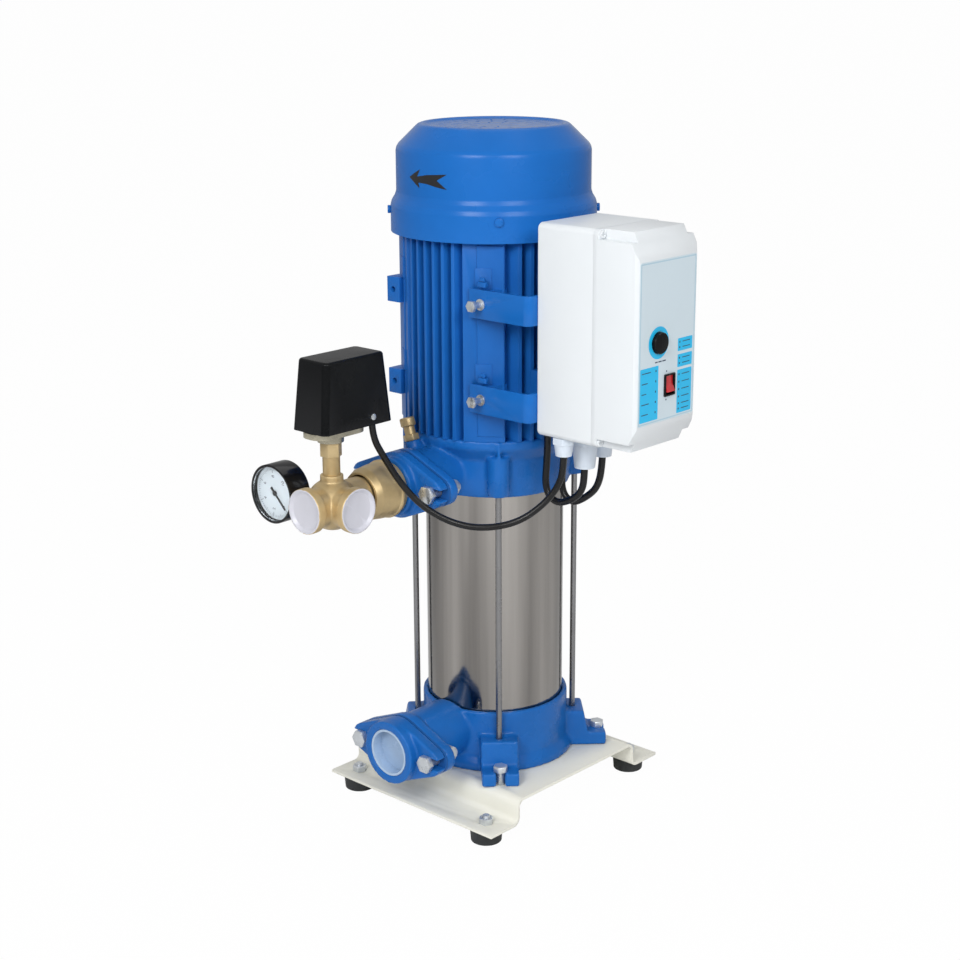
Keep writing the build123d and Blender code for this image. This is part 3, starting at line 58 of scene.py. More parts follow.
MERGE = 1e-6  # metres within which two vertices are one
FLAT_ANGLE = 0.4  # degrees up to which neighbouring CAD faces are one
SOFT_ANGLE = 32.0  # degrees up to which a machined piece is shaded smooth
SHEET_ANGLE = 40.0  # the same for turned and pressed pieces
CASTING_ANGLE = 50.0  # the same for castings
CORNER_ANGLE = 35.0  # degrees from which an edge of a CAD node is softened
RIM_ANGLE = 12.0  # the same for a turned profile
Pair = tuple[float, float]
Triple = tuple[float, float, float]
Colour = Triple
Profile = tuple[Pair, ...]
Piece = bpy.types.Object
Material = bpy.types.Material
Tree = bpy.types.NodeTree
Node = bpy.types.Node
Socket = bpy.types.NodeSocket


class Body(str, Enum):
    """The rigid bodies that pieces ride on."""

    PUMP = "pump"
    ROTOR = "rotor"
    NEEDLE = "needle"
    ROCKER = "rocker"
    BUTTON = "button"
    DISC = "valve_disc"
    VENT = "vent_screw"


class Voxel(float, Enum):
    """Grain of the re-skinned castings, in metres."""

    FINE = 0.0008
    MEDIUM = 0.0013
    COARSE = 0.0019


# ---------------------------------------------------------------- modelling helpers
def deselect() -> None:
    """Deselect everything in object mode."""
    if bpy.context.object and bpy.context.object.mode != "OBJECT":
        bpy.ops.object.mode_set(mode="OBJECT")
    bpy.ops.object.select_all(action="DESELECT")


def activate(obj: Piece) -> None:
    """Make one object the only selected and active one.

    Args:
        obj: The object to work on.
    """
    deselect()
    obj.select_set(True)
    bpy.context.view_layer.objects.active = obj


def edit(obj: Piece, work: Callable[[], None]) -> None:
    """Run operators on all of an object's mesh in edit mode.

    Args:
        obj: The object to edit.
        work: The operators, as a function.
    """
    activate(obj)
    bpy.ops.object.mode_set(mode="EDIT")
    bpy.ops.mesh.select_all(action="SELECT")
    work()
    bpy.ops.object.mode_set(mode="OBJECT")


def modify(obj: Piece, kind: str, **settings: object) -> None:
    """Add one modifier with these settings and apply it.

    Args:
        obj: The object that takes the modifier.
        kind: The modifier's type.
        settings: Its attributes by name.
    """
    activate(obj)
    modifier = obj.modifiers.new(kind.lower(), kind)
    for name, value in settings.items():
        setattr(modifier, name, value)
    bpy.ops.object.modifier_apply(modifier=modifier.name)


def freeze(obj: Piece) -> Piece:
    """Put an object's place, turn and size into its mesh."""
    activate(obj)
    bpy.ops.object.transform_apply(location=True, rotation=True, scale=True)
    return obj


def shade(obj: Piece, angle: float = SOFT_ANGLE) -> Piece:
    """Shade an object smooth up to an angle in degrees."""
    activate(obj)
    bpy.ops.object.shade_smooth_by_angle(angle=math.radians(angle))
    return obj


def join(parts: Sequence[Piece], name: str) -> Piece:
    """Join meshes into one named piece.

    Args:
        parts: The objects to join; the first one stays.
        name: The joined piece's name.

    Returns:
        The joined piece.
    """
    activate(parts[0])
    for part in parts[1:]:
        part.select_set(True)
    bpy.ops.object.join()
    parts[0].name = name
    return parts[0]


def duplicate(obj: Piece, move: Matrix) -> Piece:
    """Copy a piece with its own mesh and move the mesh.

    Args:
        obj: The piece to copy.
        move: The transform of the copy's mesh.

    Returns:
        The copy.
    """
    copy = obj.copy()
    copy.data = obj.data.copy()
    copy.data.transform(move)
    bpy.context.scene.collection.objects.link(copy)
    return copy


def lathe(profile: Profile, sides: int, edge: float, name: str) -> Piece:
    """Draw a ring out along a profile about the upright axis, in millimetres.

    Args:
        profile: The radius and height of each ring.
        sides: The ring's side count.
        edge: The rounding of its rings' corners.
        name: The piece's name.

    Returns:
        The turned piece, round the origin.
    """
    start, bottom = profile[0]
    deselect()
    bpy.ops.mesh.primitive_circle_add(vertices=sides, radius=start * MM, location=(0, 0, bottom * MM))
    ring = freeze(bpy.context.object)
    ring.name = name

    def draw() -> None:
        """Extrude the ring from each point of the profile to the next."""
        for (radius, height), (next_radius, next_height) in zip(profile, profile[1:]):
            bpy.ops.mesh.extrude_region()
            bpy.ops.transform.translate(value=(0, 0, (next_height - height) * MM))
            share = next_radius / radius
            bpy.ops.transform.resize(value=(share, share, 1), center_override=(0, 0, next_height * MM))
        bpy.ops.mesh.select_all(action="SELECT")
        bpy.ops.mesh.remove_doubles(threshold=2 * MERGE)
        bpy.ops.mesh.normals_make_consistent(inside=False)

    edit(ring, draw)
    modify(ring, "BEVEL", width=edge * MM, segments=4, limit_method="ANGLE",
           angle_limit=math.radians(RIM_ANGLE), use_clamp_overlap=True)
    return shade(ring, SHEET_ANGLE)


def aim(obj: Piece, at: Sequence[float], direction: Sequence[float]) -> None:
    """Turn a piece's upright axis to a direction and move it, in its mesh.

    Args:
        obj: The piece, round the origin.
        at: Its new place in millimetres.
        direction: Where its upright axis points.
    """
    turn = Vector((0, 0, 1)).rotation_difference(Vector(direction)).to_matrix().to_4x4()
    obj.data.transform(Matrix.Translation(Vector(at) * MM) @ turn)


def cad_copy(node: str) -> Piece:
    """Copy a CAD node's mesh, merged and with its flat faces whole.

    Args:
        node: The CAD node's name.

    Returns:
        A free object named after the node.
    """
    source = frame["nodes"][node]
    copy = bpy.data.objects.new(f"{node}_skin", source.data.copy())
    copy.data.materials.clear()
    bpy.context.scene.collection.objects.link(copy)

    def tidy() -> None:
        """Merge the doubled vertices and dissolve the cuts in flat faces."""
        bpy.ops.mesh.remove_doubles(threshold=MERGE)
        bpy.ops.mesh.dissolve_limited(angle_limit=math.radians(FLAT_ANGLE))

    activate(copy)
    if copy.data.has_custom_normals:
        bpy.ops.mesh.customdata_custom_splitnormals_clear()
    edit(copy, tidy)
    return copy


@dataclass(frozen=True)
class Skin:
    """How a CAD node is carried over: as it is, with softened edges, or re-skinned as a casting."""

    bevel: float = 0.0
    voxel: float = 0.0
    smooth: int = 0

    def make(self, node: str) -> Piece:
        """Build the visible piece of a CAD node with the finish of its slot; a re-skinned copy also rides
        on the node's body.

        Args:
            node: The CAD node's name.

        Returns:
            The visible object.
        """
        slot = SLOT_OF[node]
        finish = OWN_FINISH.get(node, slot)
        if not self.bevel and not self.voxel:
            obj = frame["nodes"][node]
            dress(obj, MATERIALS[finish])
            return obj
        obj = cad_copy(node)
        if self.voxel:
            modify(obj, "REMESH", mode="VOXEL", voxel_size=self.voxel, use_smooth_shade=True)
            modify(obj, "SMOOTH", factor=0.5, iterations=self.smooth)
            shade(obj, CASTING_ANGLE)
        else:
            modify(obj, "BEVEL", width=self.bevel, segments=2, limit_method="ANGLE",
                   angle_limit=math.radians(CORNER_ANGLE), use_clamp_overlap=True, harden_normals=False)
            shade(obj)
        place(obj, finish, Body(BODY_OF[node]))
        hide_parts(node)
        return obj


def dress(obj: Piece, material: Material) -> None:
    """Give an object one material on all its faces."""
    if len(obj.material_slots) == 0:
        obj.data.materials.append(material)
    for slot in obj.material_slots:
        slot.material = material


def place(obj: Piece, finish: str, body: Body = Body.PUMP) -> Piece:
    """Finish a new piece: material and body.

    Args:
        obj: The piece.
        finish: The key of its finish.
        body: The body it rides on.

    Returns:
        The same piece.
    """
    dress(obj, MATERIALS[finish])
    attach(obj, body.value)
    return obj


def block(size: Sequence[float], at: Sequence[float], bevel: float) -> Piece:
    """Add a block in millimetres with rounded edges.

    Args:
        size: Its three sides.
        at: Its centre.
        bevel: The edge rounding.

    Returns:
        The block, its place in its mesh.
    """
    deselect()
    bpy.ops.mesh.primitive_cube_add(size=1, location=[v * MM for v in at])
    obj = bpy.context.object
    obj.scale = [v * MM for v in size]
    freeze(obj)

    edit(obj, lambda: bpy.ops.mesh.bevel(offset=bevel * MM, segments=3, affect="EDGES", clamp_overlap=True))
    return obj


# ---------------------------------------------------------------- shader helpers
class Graph:
    """Adds and joins shader nodes in one tree."""

    def __init__(self, tree: Tree) -> None:
        """Keep the node tree to add to."""
        self.tree = tree

    def add(self, kind: str, values: dict[str, object] | None = None, **attributes: object) -> Node:
        """Add one node.

        Args:
            kind: The node's type, without its ShaderNode prefix.
            values: Input values by socket name or index.
            attributes: The node's own attributes.

        Returns:
            The node.
        """
        node = self.tree.nodes.new(kind if kind.startswith("Node") else f"ShaderNode{kind}")
        for name, value in attributes.items():
            setattr(node, name, value)
        for name, value in (values or {}).items():
            if isinstance(value, Socket):
                self.tree.links.new(value, node.inputs[name])
            else:
                node.inputs[name].default_value = value
        return node

    def link(self, source: Socket, target: Socket) -> None:
        """Join two sockets."""
        self.tree.links.new(source, target)

    def math(self, operation: str, *values: object) -> Socket:
        """Add a Math node and give its output."""
        return self.add("Math", dict(enumerate(values)), operation=operation).outputs[0]

    def blend(self, factor: object, first: object, second: object) -> Socket:
        """Mix two colours and give the colour socket."""
        return self.add("Mix", {0: factor, 6: first, 7: second}, data_type="RGBA").outputs[2]

    def remap(self, value: object, low: float, high: float) -> Socket:
        """Spread a 0..1 value over a range."""
        return self.add("MapRange", {"Value": value, "To Min": low, "To Max": high}).outputs[0]

    def spread(self, value: object, low: object, high: object, **attributes: object) -> Socket:
        """Spread a range of values over 0..1."""
        values = {"Value": value, "From Min": low, "From Max": high}
        return self.add("MapRange", values, **attributes).outputs[0]

    def spot(self, stretch: Triple | None = None) -> Socket:
        """The point on the object, in metres, scaled along its axes where stretch is given."""
        spot = self.add("TexCoord").outputs["Object"]
        return self.add("Mapping", {"Vector": spot, "Scale": stretch}).outputs[0] if stretch else spot

    def patches(self, scale: float) -> Socket:
        """Large soft patches as a mask from 0 to 1."""
        group = self.add("Group", node_tree=CLOUD)
        group.inputs["Scale"].default_value = scale
        return group.outputs["Mask"]

    def noise(self, spot: Socket, scale: object, detail: float, roughness: float = 0.5) -> Socket:
        """Add a noise texture and give its strength."""
        values = {"Vector": spot, "Scale": scale, "Detail": detail, "Roughness": roughness}
        return self.add("TexNoise", values).outputs["Fac"]


def rgba(colour: Colour, gain: float = 1.0) -> tuple[float, float, float, float]:
    """A colour as four numbers, brightened by gain."""
    return (min(1.0, colour[0] * gain), min(1.0, colour[1] * gain), min(1.0, colour[2] * gain), 1.0)


def new_group(name: str, inputs: dict[str, float],
              outputs: Iterable[str]) -> tuple[Tree, Graph, Node, Node]:
    """Start a shader node group with named float sockets.

    Args:
        name: The group's name.
        inputs: Default values by input name.
        outputs: The output names.

    Returns:
        The group tree, a graph to fill it, and the group's own input and output nodes.
    """
    tree = bpy.data.node_groups.new(name, "ShaderNodeTree")
    for label, value in inputs.items():
        socket = tree.interface.new_socket(name=label, in_out="INPUT", socket_type="NodeSocketFloat")
        socket.default_value = value
    for label in outputs:
        tree.interface.new_socket(name=label, in_out="OUTPUT", socket_type="NodeSocketFloat")
    graph = Graph(tree)
    return tree, graph, graph.add("NodeGroupInput"), graph.add("NodeGroupOutput")


def make_cloud_group() -> Tree:
    """Large soft patches: a mask from 0 to 1 at a chosen scale and contrast."""
    inputs = {"Scale": 8.0, "Low": 0.25, "High": 0.75}
    tree, graph, source, target = new_group("cloudy patches", inputs, ["Mask"])
    noise = graph.noise(graph.spot(), source.outputs["Scale"], 4.0, 0.6)
    low, high = source.outputs["Low"], source.outputs["High"]
    mask = graph.spread(noise, low, high, interpolation_type="SMOOTHERSTEP")
    graph.link(mask, target.inputs["Mask"])
    return tree


def make_grain_group() -> Tree:
    """Fine skin: the height of orange peel, sand-cast grain or moulded texture."""
    tree, graph, source, target = new_group("fine skin", {"Scale": 300.0, "Pits": 0.2}, ["Height"])
    spot = graph.spot()
    noise = graph.noise(spot, source.outputs["Scale"], 2.0)
    cells = graph.add("TexVoronoi", {"Vector": spot, "Scale": source.outputs["Scale"]})
    pits = graph.math("MULTIPLY", cells.outputs["Distance"], source.outputs["Pits"])
    graph.link(graph.math("SUBTRACT", noise, pits), target.inputs["Height"])
    return tree


def make_edge_group() -> Tree:
    """Convex edges and creases from the surface's own curvature: masks for painted highlight and painted
    shade.
    """
    tree, graph, source, target = new_group("edges and creases", {"Width": 0.08}, ["Edge", "Crease"])
    shape = graph.add("NewGeometry").outputs["Pointiness"]
    flat, slack = 0.5, 0.005  # the pointiness of a flat face, and what still counts as flat
    high = graph.math("ADD", flat, source.outputs["Width"])
    low = graph.math("SUBTRACT", flat, source.outputs["Width"])
    graph.link(graph.spread(shape, flat + slack, high), target.inputs["Edge"])
    graph.link(graph.spread(shape, flat - slack, low), target.inputs["Crease"])
    return tree


def new_material(name: str) -> tuple[Material, Graph, Node]:
    """Start a material.

    Args:
        name: The material's name.

    Returns:
        The material, a graph to fill it and its surface shader.
    """
    material = bpy.data.materials.new(name)
    material.use_nodes = True
    return material, Graph(material.node_tree), material.node_tree.nodes["Principled BSDF"]


CLOUD = make_cloud_group()
GRAIN = make_grain_group()
EDGE = make_edge_group()


@dataclass(frozen=True)
class Finish:
    """One surface finish, built as a material of its own.

    The tone drifts between two gains in soft patches, a painted highlight lightens convex edges and a
    painted shade darkens creases, the roughness drifts with the patches, and a fine skin gives the bump.
    """

    name: str
    colour: Colour
    roughness: float
    metallic: float = 0.0
    drift: float = 0.08
    patch_scale: float = 9.0
    gloss_drift: float = 0.06
    skin_scale: float = 400.0
    skin_pits: float = 0.1
    skin_depth: float = 0.04
    # edge tint and share: painted highlight that lightens convex edges; crease gain and share: painted
    # shade that darkens creases
    edge_tint: Colour | None = None
    edge_share: float = 0.3
    crease_gain: float = 0.75
    crease_share: float = 0.5
    coat: float = 0.0
    coat_roughness: float = 0.12
    specular: float = 0.5

    def colour_nodes(self, graph: Graph, mask: Socket) -> Socket:
        """The base colour, drifting with the soft patches of the mask."""
        return graph.blend(mask, rgba(self.colour, 1 - self.drift), rgba(self.colour, 1 + self.drift))

    def height_nodes(self, graph: Graph) -> Socket:
        """The fine skin's height socket."""
        skin = graph.add("Group", node_tree=GRAIN)
        skin.inputs["Scale"].default_value = self.skin_scale
        skin.inputs["Pits"].default_value = self.skin_pits
        return skin.outputs["Height"]

    def build(self) -> Material:
        """Make the material.

        Returns:
            The finished material.
        """
        material, graph, shader = new_material(self.name)
        material.diffuse_color = rgba(self.colour)
        mask = graph.patches(self.patch_scale)
        edges = graph.add("Group", node_tree=EDGE)
        colour = self.colour_nodes(graph, mask)
        # painted highlight: convex edges lightened towards the edge tint
        edge_highlight_colour = self.edge_tint or tuple(min(1.0, c * 1.25 + 0.01) for c in self.colour)
        share = graph.math("MULTIPLY", edges.outputs["Edge"], self.edge_share)
        colour = graph.blend(share, colour, rgba(edge_highlight_colour))
        # painted shade: creases darkened by the crease gain
        share = graph.math("MULTIPLY", edges.outputs["Crease"], self.crease_share)
        colour = graph.blend(share, colour, rgba(self.colour, self.crease_gain))
        graph.link(colour, shader.inputs["Base Color"])
        glossiest = max(0.02, self.roughness - self.gloss_drift)
        rough = graph.remap(mask, glossiest, self.roughness + self.gloss_drift)
        graph.link(rough, shader.inputs["Roughness"])
        shader.inputs["Metallic"].default_value = self.metallic
        shader.inputs["Specular IOR Level"].default_value = self.specular
        shader.inputs["Coat Weight"].default_value = self.coat
        shader.inputs["Coat Roughness"].default_value = self.coat_roughness
        height = self.height_nodes(graph)
        bump = graph.add("Bump", {"Strength": self.skin_depth, "Distance": MM, "Height": height})
        graph.link(bump.outputs["Normal"], shader.inputs["Normal"])
        return material


@dataclass(frozen=True)
class DrawnSheet(Finish):
    """Polished sheet with painted reflection streaks along the shaft axis and hair-fine brushing across it.
    """

    # the streaks are painted reflection bands, lighter and darker along the shaft axis
    streak: float = 0.25
    streak_scale: float = 26.0
    stretch: float = 0.03
    brush_scale: float = 900.0
    brush_stretch: float = 0.04

    def colour_nodes(self, graph: Graph, mask: Socket) -> Socket:
        """The base colour with painted reflection streaks.

        Args:
            graph: The material's graph.
            mask: The soft patches.

        Returns:
            The colour socket.
        """
        noise = graph.noise(graph.spot((1.0, 1.0, self.stretch)), self.streak_scale, 5.0)
        share = graph.spread(noise, 0.35, 0.65)
        return graph.blend(share, rgba(self.colour, 1 - self.streak), rgba(self.colour, 1 + self.streak))

    def height_nodes(self, graph: Graph) -> Socket:
        """The brushing's height socket."""
        return graph.noise(graph.spot((self.brush_stretch, self.brush_stretch, 1.0)), self.brush_scale, 2.0)


@dataclass(frozen=True)
class FramedFilm(Finish):
    """Printed film with a coloured frame line a little inside its edge."""

    centre: Pair = (0.0, 0.0)
    half: Pair = (40.0, 70.0)
    line: Colour = (0.3, 0.5, 0.62)
    line_width: float = 1.2

    def colour_nodes(self, graph: Graph, mask: Socket) -> Socket:
        """The film colour with its frame line.

        Args:
            graph: The material's graph.
            mask: The soft patches.

        Returns:
            The colour socket.
        """
        base = super().colour_nodes(graph, mask)
        split = graph.add("SeparateXYZ", {0: graph.spot()})
        reach = []
        for axis, middle, half in ((1, self.centre[0], self.half[0]), (2, self.centre[1], self.half[1])):
            away = graph.math("ABSOLUTE", graph.math("SUBTRACT", split.outputs[axis], middle * MM))
            reach.append(graph.math("SUBTRACT", away, half * MM))
        outside = graph.math("MAXIMUM", *reach)
        line = graph.math("LESS_THAN", graph.math("ABSOLUTE", outside), self.line_width * MM / 2)
        return graph.blend(line, base, rgba(self.line))


@dataclass(frozen=True)
class ClearLens:
    """Thin clear glass."""

    name: str = "clear lens"

    def build(self) -> Material:
        """Make the material.

        Returns:
            The finished material.
        """
        material, graph, shader = new_material(self.name)
        shader.inputs["Base Color"].default_value = (0.98, 0.99, 1.0, 1.0)
        shader.inputs["Transmission Weight"].default_value = 1.0
        shader.inputs["IOR"].default_value = 1.2
        graph.link(graph.remap(graph.patches(60.0), 0.0, 0.03), shader.inputs["Roughness"])
        return material


# Edge tints lighten convex edges as painted highlight; crease gains below 1 darken creases as painted
# shade.
FINISHES: dict[str, Finish | ClearLens] = {
    "blue_iron": Finish(
        "blue painted casting", (0.009, 0.125, 0.44), 0.28, drift=0.1, patch_scale=14, skin_scale=420,
        skin_pits=0.5, skin_depth=0.16, specular=0.24, edge_share=0.25, crease_gain=0.6),
    "blue_aluminium": Finish(
        "blue painted motor", (0.0085, 0.118, 0.43), 0.34, drift=0.07, skin_scale=600, skin_depth=0.06,
        specular=0.2, edge_share=0.3, crease_gain=0.5),
    "blue_sheet": Finish(
        "blue painted sheet", (0.009, 0.132, 0.47), 0.24, drift=0.05, skin_scale=700, skin_depth=0.03,
        specular=0.2, edge_share=0.2, crease_gain=0.7),
    "ivory_paint": Finish(
        "ivory powder coat", (0.83, 0.82, 0.73), 0.42, drift=0.03, skin_scale=900, skin_depth=0.1,
        edge_share=0.15, crease_gain=0.85),
    "black_rubber": Finish(
        "foot rubber", (0.022, 0.025, 0.026), 0.62, drift=0.25, skin_scale=700, skin_depth=0.15),
    "zinc_steel": Finish(
        "zinc plated steel", (0.6, 0.63, 0.66), 0.33, metallic=0.8, drift=0.16, patch_scale=40,
        gloss_drift=0.12, skin_scale=900, skin_depth=0.06),
    "rod_steel": Finish(
        "drawn tie rod", (0.24, 0.24, 0.245), 0.3, metallic=0.9, drift=0.1, patch_scale=30, skin_scale=900,
        skin_depth=0.05),
    # darkened base colour with streaks: painted dark reflections of the room
    "stainless_sheet": DrawnSheet(
        "polished stainless", (0.29, 0.275, 0.26), 0.12, metallic=1, gloss_drift=0.03, patch_scale=4,
        skin_depth=0.02, edge_share=0.0, streak=0.36),
    "stainless_internal": Finish("bright stainless", (0.6, 0.6, 0.6), 0.25, metallic=1),
    "raw_brass": Finish(
        "as-cast brass", (0.52, 0.39, 0.2), 0.4, metallic=0.5, drift=0.16, patch_scale=30, gloss_drift=0.1,
        skin_scale=800, skin_pits=0.4, skin_depth=0.14, edge_tint=(0.72, 0.58, 0.34), edge_share=0.35,
        crease_gain=0.55),
    "plated_steel": Finish(
        "dull plated steel", (0.42, 0.39, 0.3), 0.34, metallic=0.8, drift=0.2, patch_scale=50,
        gloss_drift=0.1, skin_scale=900, skin_depth=0.06),
    "white_plug": Finish(
        "white polyethylene", (0.6, 0.6, 0.66), 0.34, drift=0.03, patch_scale=30, skin_depth=0.03),
    "cup_plug": Finish(
        "pale blue polyethylene", (0.34, 0.47, 0.66), 0.3, drift=0.05, patch_scale=30, skin_depth=0.03,
        edge_tint=(0.62, 0.74, 0.84), edge_share=0.8),
    "gasket_fibre": Finish("overpainted gasket", (0.008, 0.085, 0.3), 0.55, skin_depth=0.2, specular=0.2),
    "black_plastic": Finish(
        "textured black plastic", (0.0035, 0.004, 0.0045), 0.27, drift=0.15, skin_scale=1500,
        skin_depth=0.07, edge_tint=(0.05, 0.05, 0.055), edge_share=0.6, specular=0.1),
    "black_case": Finish("gloss black enamel", (0.004, 0.004, 0.005), 0.16, skin_depth=0.03, specular=0.35),
    "dial_white": Finish("enamelled dial", (0.72, 0.79, 0.86), 0.4, drift=0.02, skin_depth=0.02),
    "needle_black": Finish("pointer enamel", (0.01, 0.01, 0.012), 0.35),
    "lens_glass": ClearLens(),
    "lamination_steel": Finish("stacked laminations", (0.3, 0.3, 0.31), 0.45, metallic=1),
    "copper_winding": Finish("varnished copper", (0.5, 0.2, 0.08), 0.35, metallic=1),
    "box_plastic": Finish(
        "light moulded plastic", (0.73, 0.765, 0.79), 0.38, drift=0.02, patch_scale=5, skin_scale=1400,
        skin_depth=0.06, edge_share=0.25, edge_tint=(0.85, 0.87, 0.89), crease_gain=0.8),
    "rocker_red": Finish("glossy red rocker", (0.5, 0.02, 0.025), 0.2, coat=0.5, skin_depth=0.02),
    "gland_grey": Finish(
        "grey nylon", (0.66, 0.73, 0.82), 0.42, drift=0.06, skin_scale=1200, skin_depth=0.08,
        crease_gain=0.6),
    "cable_black": Finish(
        "cable sheath", (0.004, 0.004, 0.0045), 0.3, drift=0.2, patch_scale=60, skin_scale=1800,
        skin_depth=0.06, specular=0.35),
    "label_film": FramedFilm(
        "printed film", (0.58, 0.68, 0.74), 0.3, drift=0.01, gloss_drift=0.01, skin_depth=0.015,
        centre=(-29.5, 519.0), half=(40.2, 73.2), coat=0.3),
    "cyan_print": Finish("cyan print", (0.006, 0.5, 0.86), 0.32, drift=0.03, skin_depth=0.015, coat=0.3),
    "dark_print": Finish("dark print", (0.02, 0.045, 0.1), 0.35, drift=0.05, skin_depth=0.01),
}
MATERIALS: dict[str, Material] = {key: finish.build() for key, finish in FINISHES.items()}
OWN_FINISH: dict[str, str] = {
    "tie_rods": "rod_steel", "suction_plug": "cup_plug", "fan_cover_screws": "blue_sheet",
    "switch_base": "plated_steel",
}
SLOT_OF: dict[str, str] = {row["node"]: row["material_slot"] for row in frame["record"]["subparts"]}
BODY_OF: dict[str, str] = {
    node: body for body, nodes in frame["record"]["behaviour"]["bodies"].items() for node in nodes}


class Assembly:
    """A sub-assembly that builds its pieces in order."""

    def skins(self) -> dict[str, Skin]:
        """The CAD nodes that it carries over, and how."""
        return {}

    def extras(self) -> list[Piece]:
        """Model the pieces that the solids leave out."""
        return []

    def build(self) -> None:
        """Carry the nodes over, model the rest and report each piece."""
        pieces = [skin.make(node) for node, skin in self.skins().items()]
        for piece in pieces + self.extras():
            LOG.info("%s: %s", type(self).__name__, piece.name)


@dataclass
class Stand(Assembly):
    """Folded base, rubber feet and M8 fixings."""

    sheet_edge: float = 0.0005
    hardware_edge: float = 0.0004

    def skins(self) -> dict[str, Skin]:
        """The base's nodes."""
        return {
            "base_frame": Skin(self.sheet_edge), "rubber_feet": Skin(0.0006), "foot_studs": Skin(),
            "m8_nuts": Skin(self.hardware_edge), "pump_foot_bolts": Skin(self.hardware_edge),
        }


@dataclass
class PumpEnd(Assembly):
    """Castings, sleeve, tie rods and flanged ports of the pump."""

    casting_smooth: int = 5

    def skins(self) -> dict[str, Skin]:
        """The pump's nodes."""
        casting = Skin(voxel=Voxel.COARSE.value, smooth=self.casting_smooth)
        flange = Skin(voxel=Voxel.MEDIUM.value, smooth=self.casting_smooth)
        hardware = Skin(0.0005)
        return {
            "suction_casing": casting, "discharge_casing": casting, "suction_counter_flange": flange,
            "discharge_counter_flange": flange, "flange_gaskets": Skin(), "flange_bolts": hardware,
            "flange_nuts": hardware, "suction_plug": Skin(0.0006), "outer_sleeve": Skin(),
            "sleeve_seals": Skin(), "tie_rods": Skin(), "pump_shaft": Skin(), "mechanical_seal": Skin(),
            "impellers": Skin(), "stage_bowls": Skin(), "air_vent_body": hardware,
            "air_vent_screw": Skin(0.0006),
        }


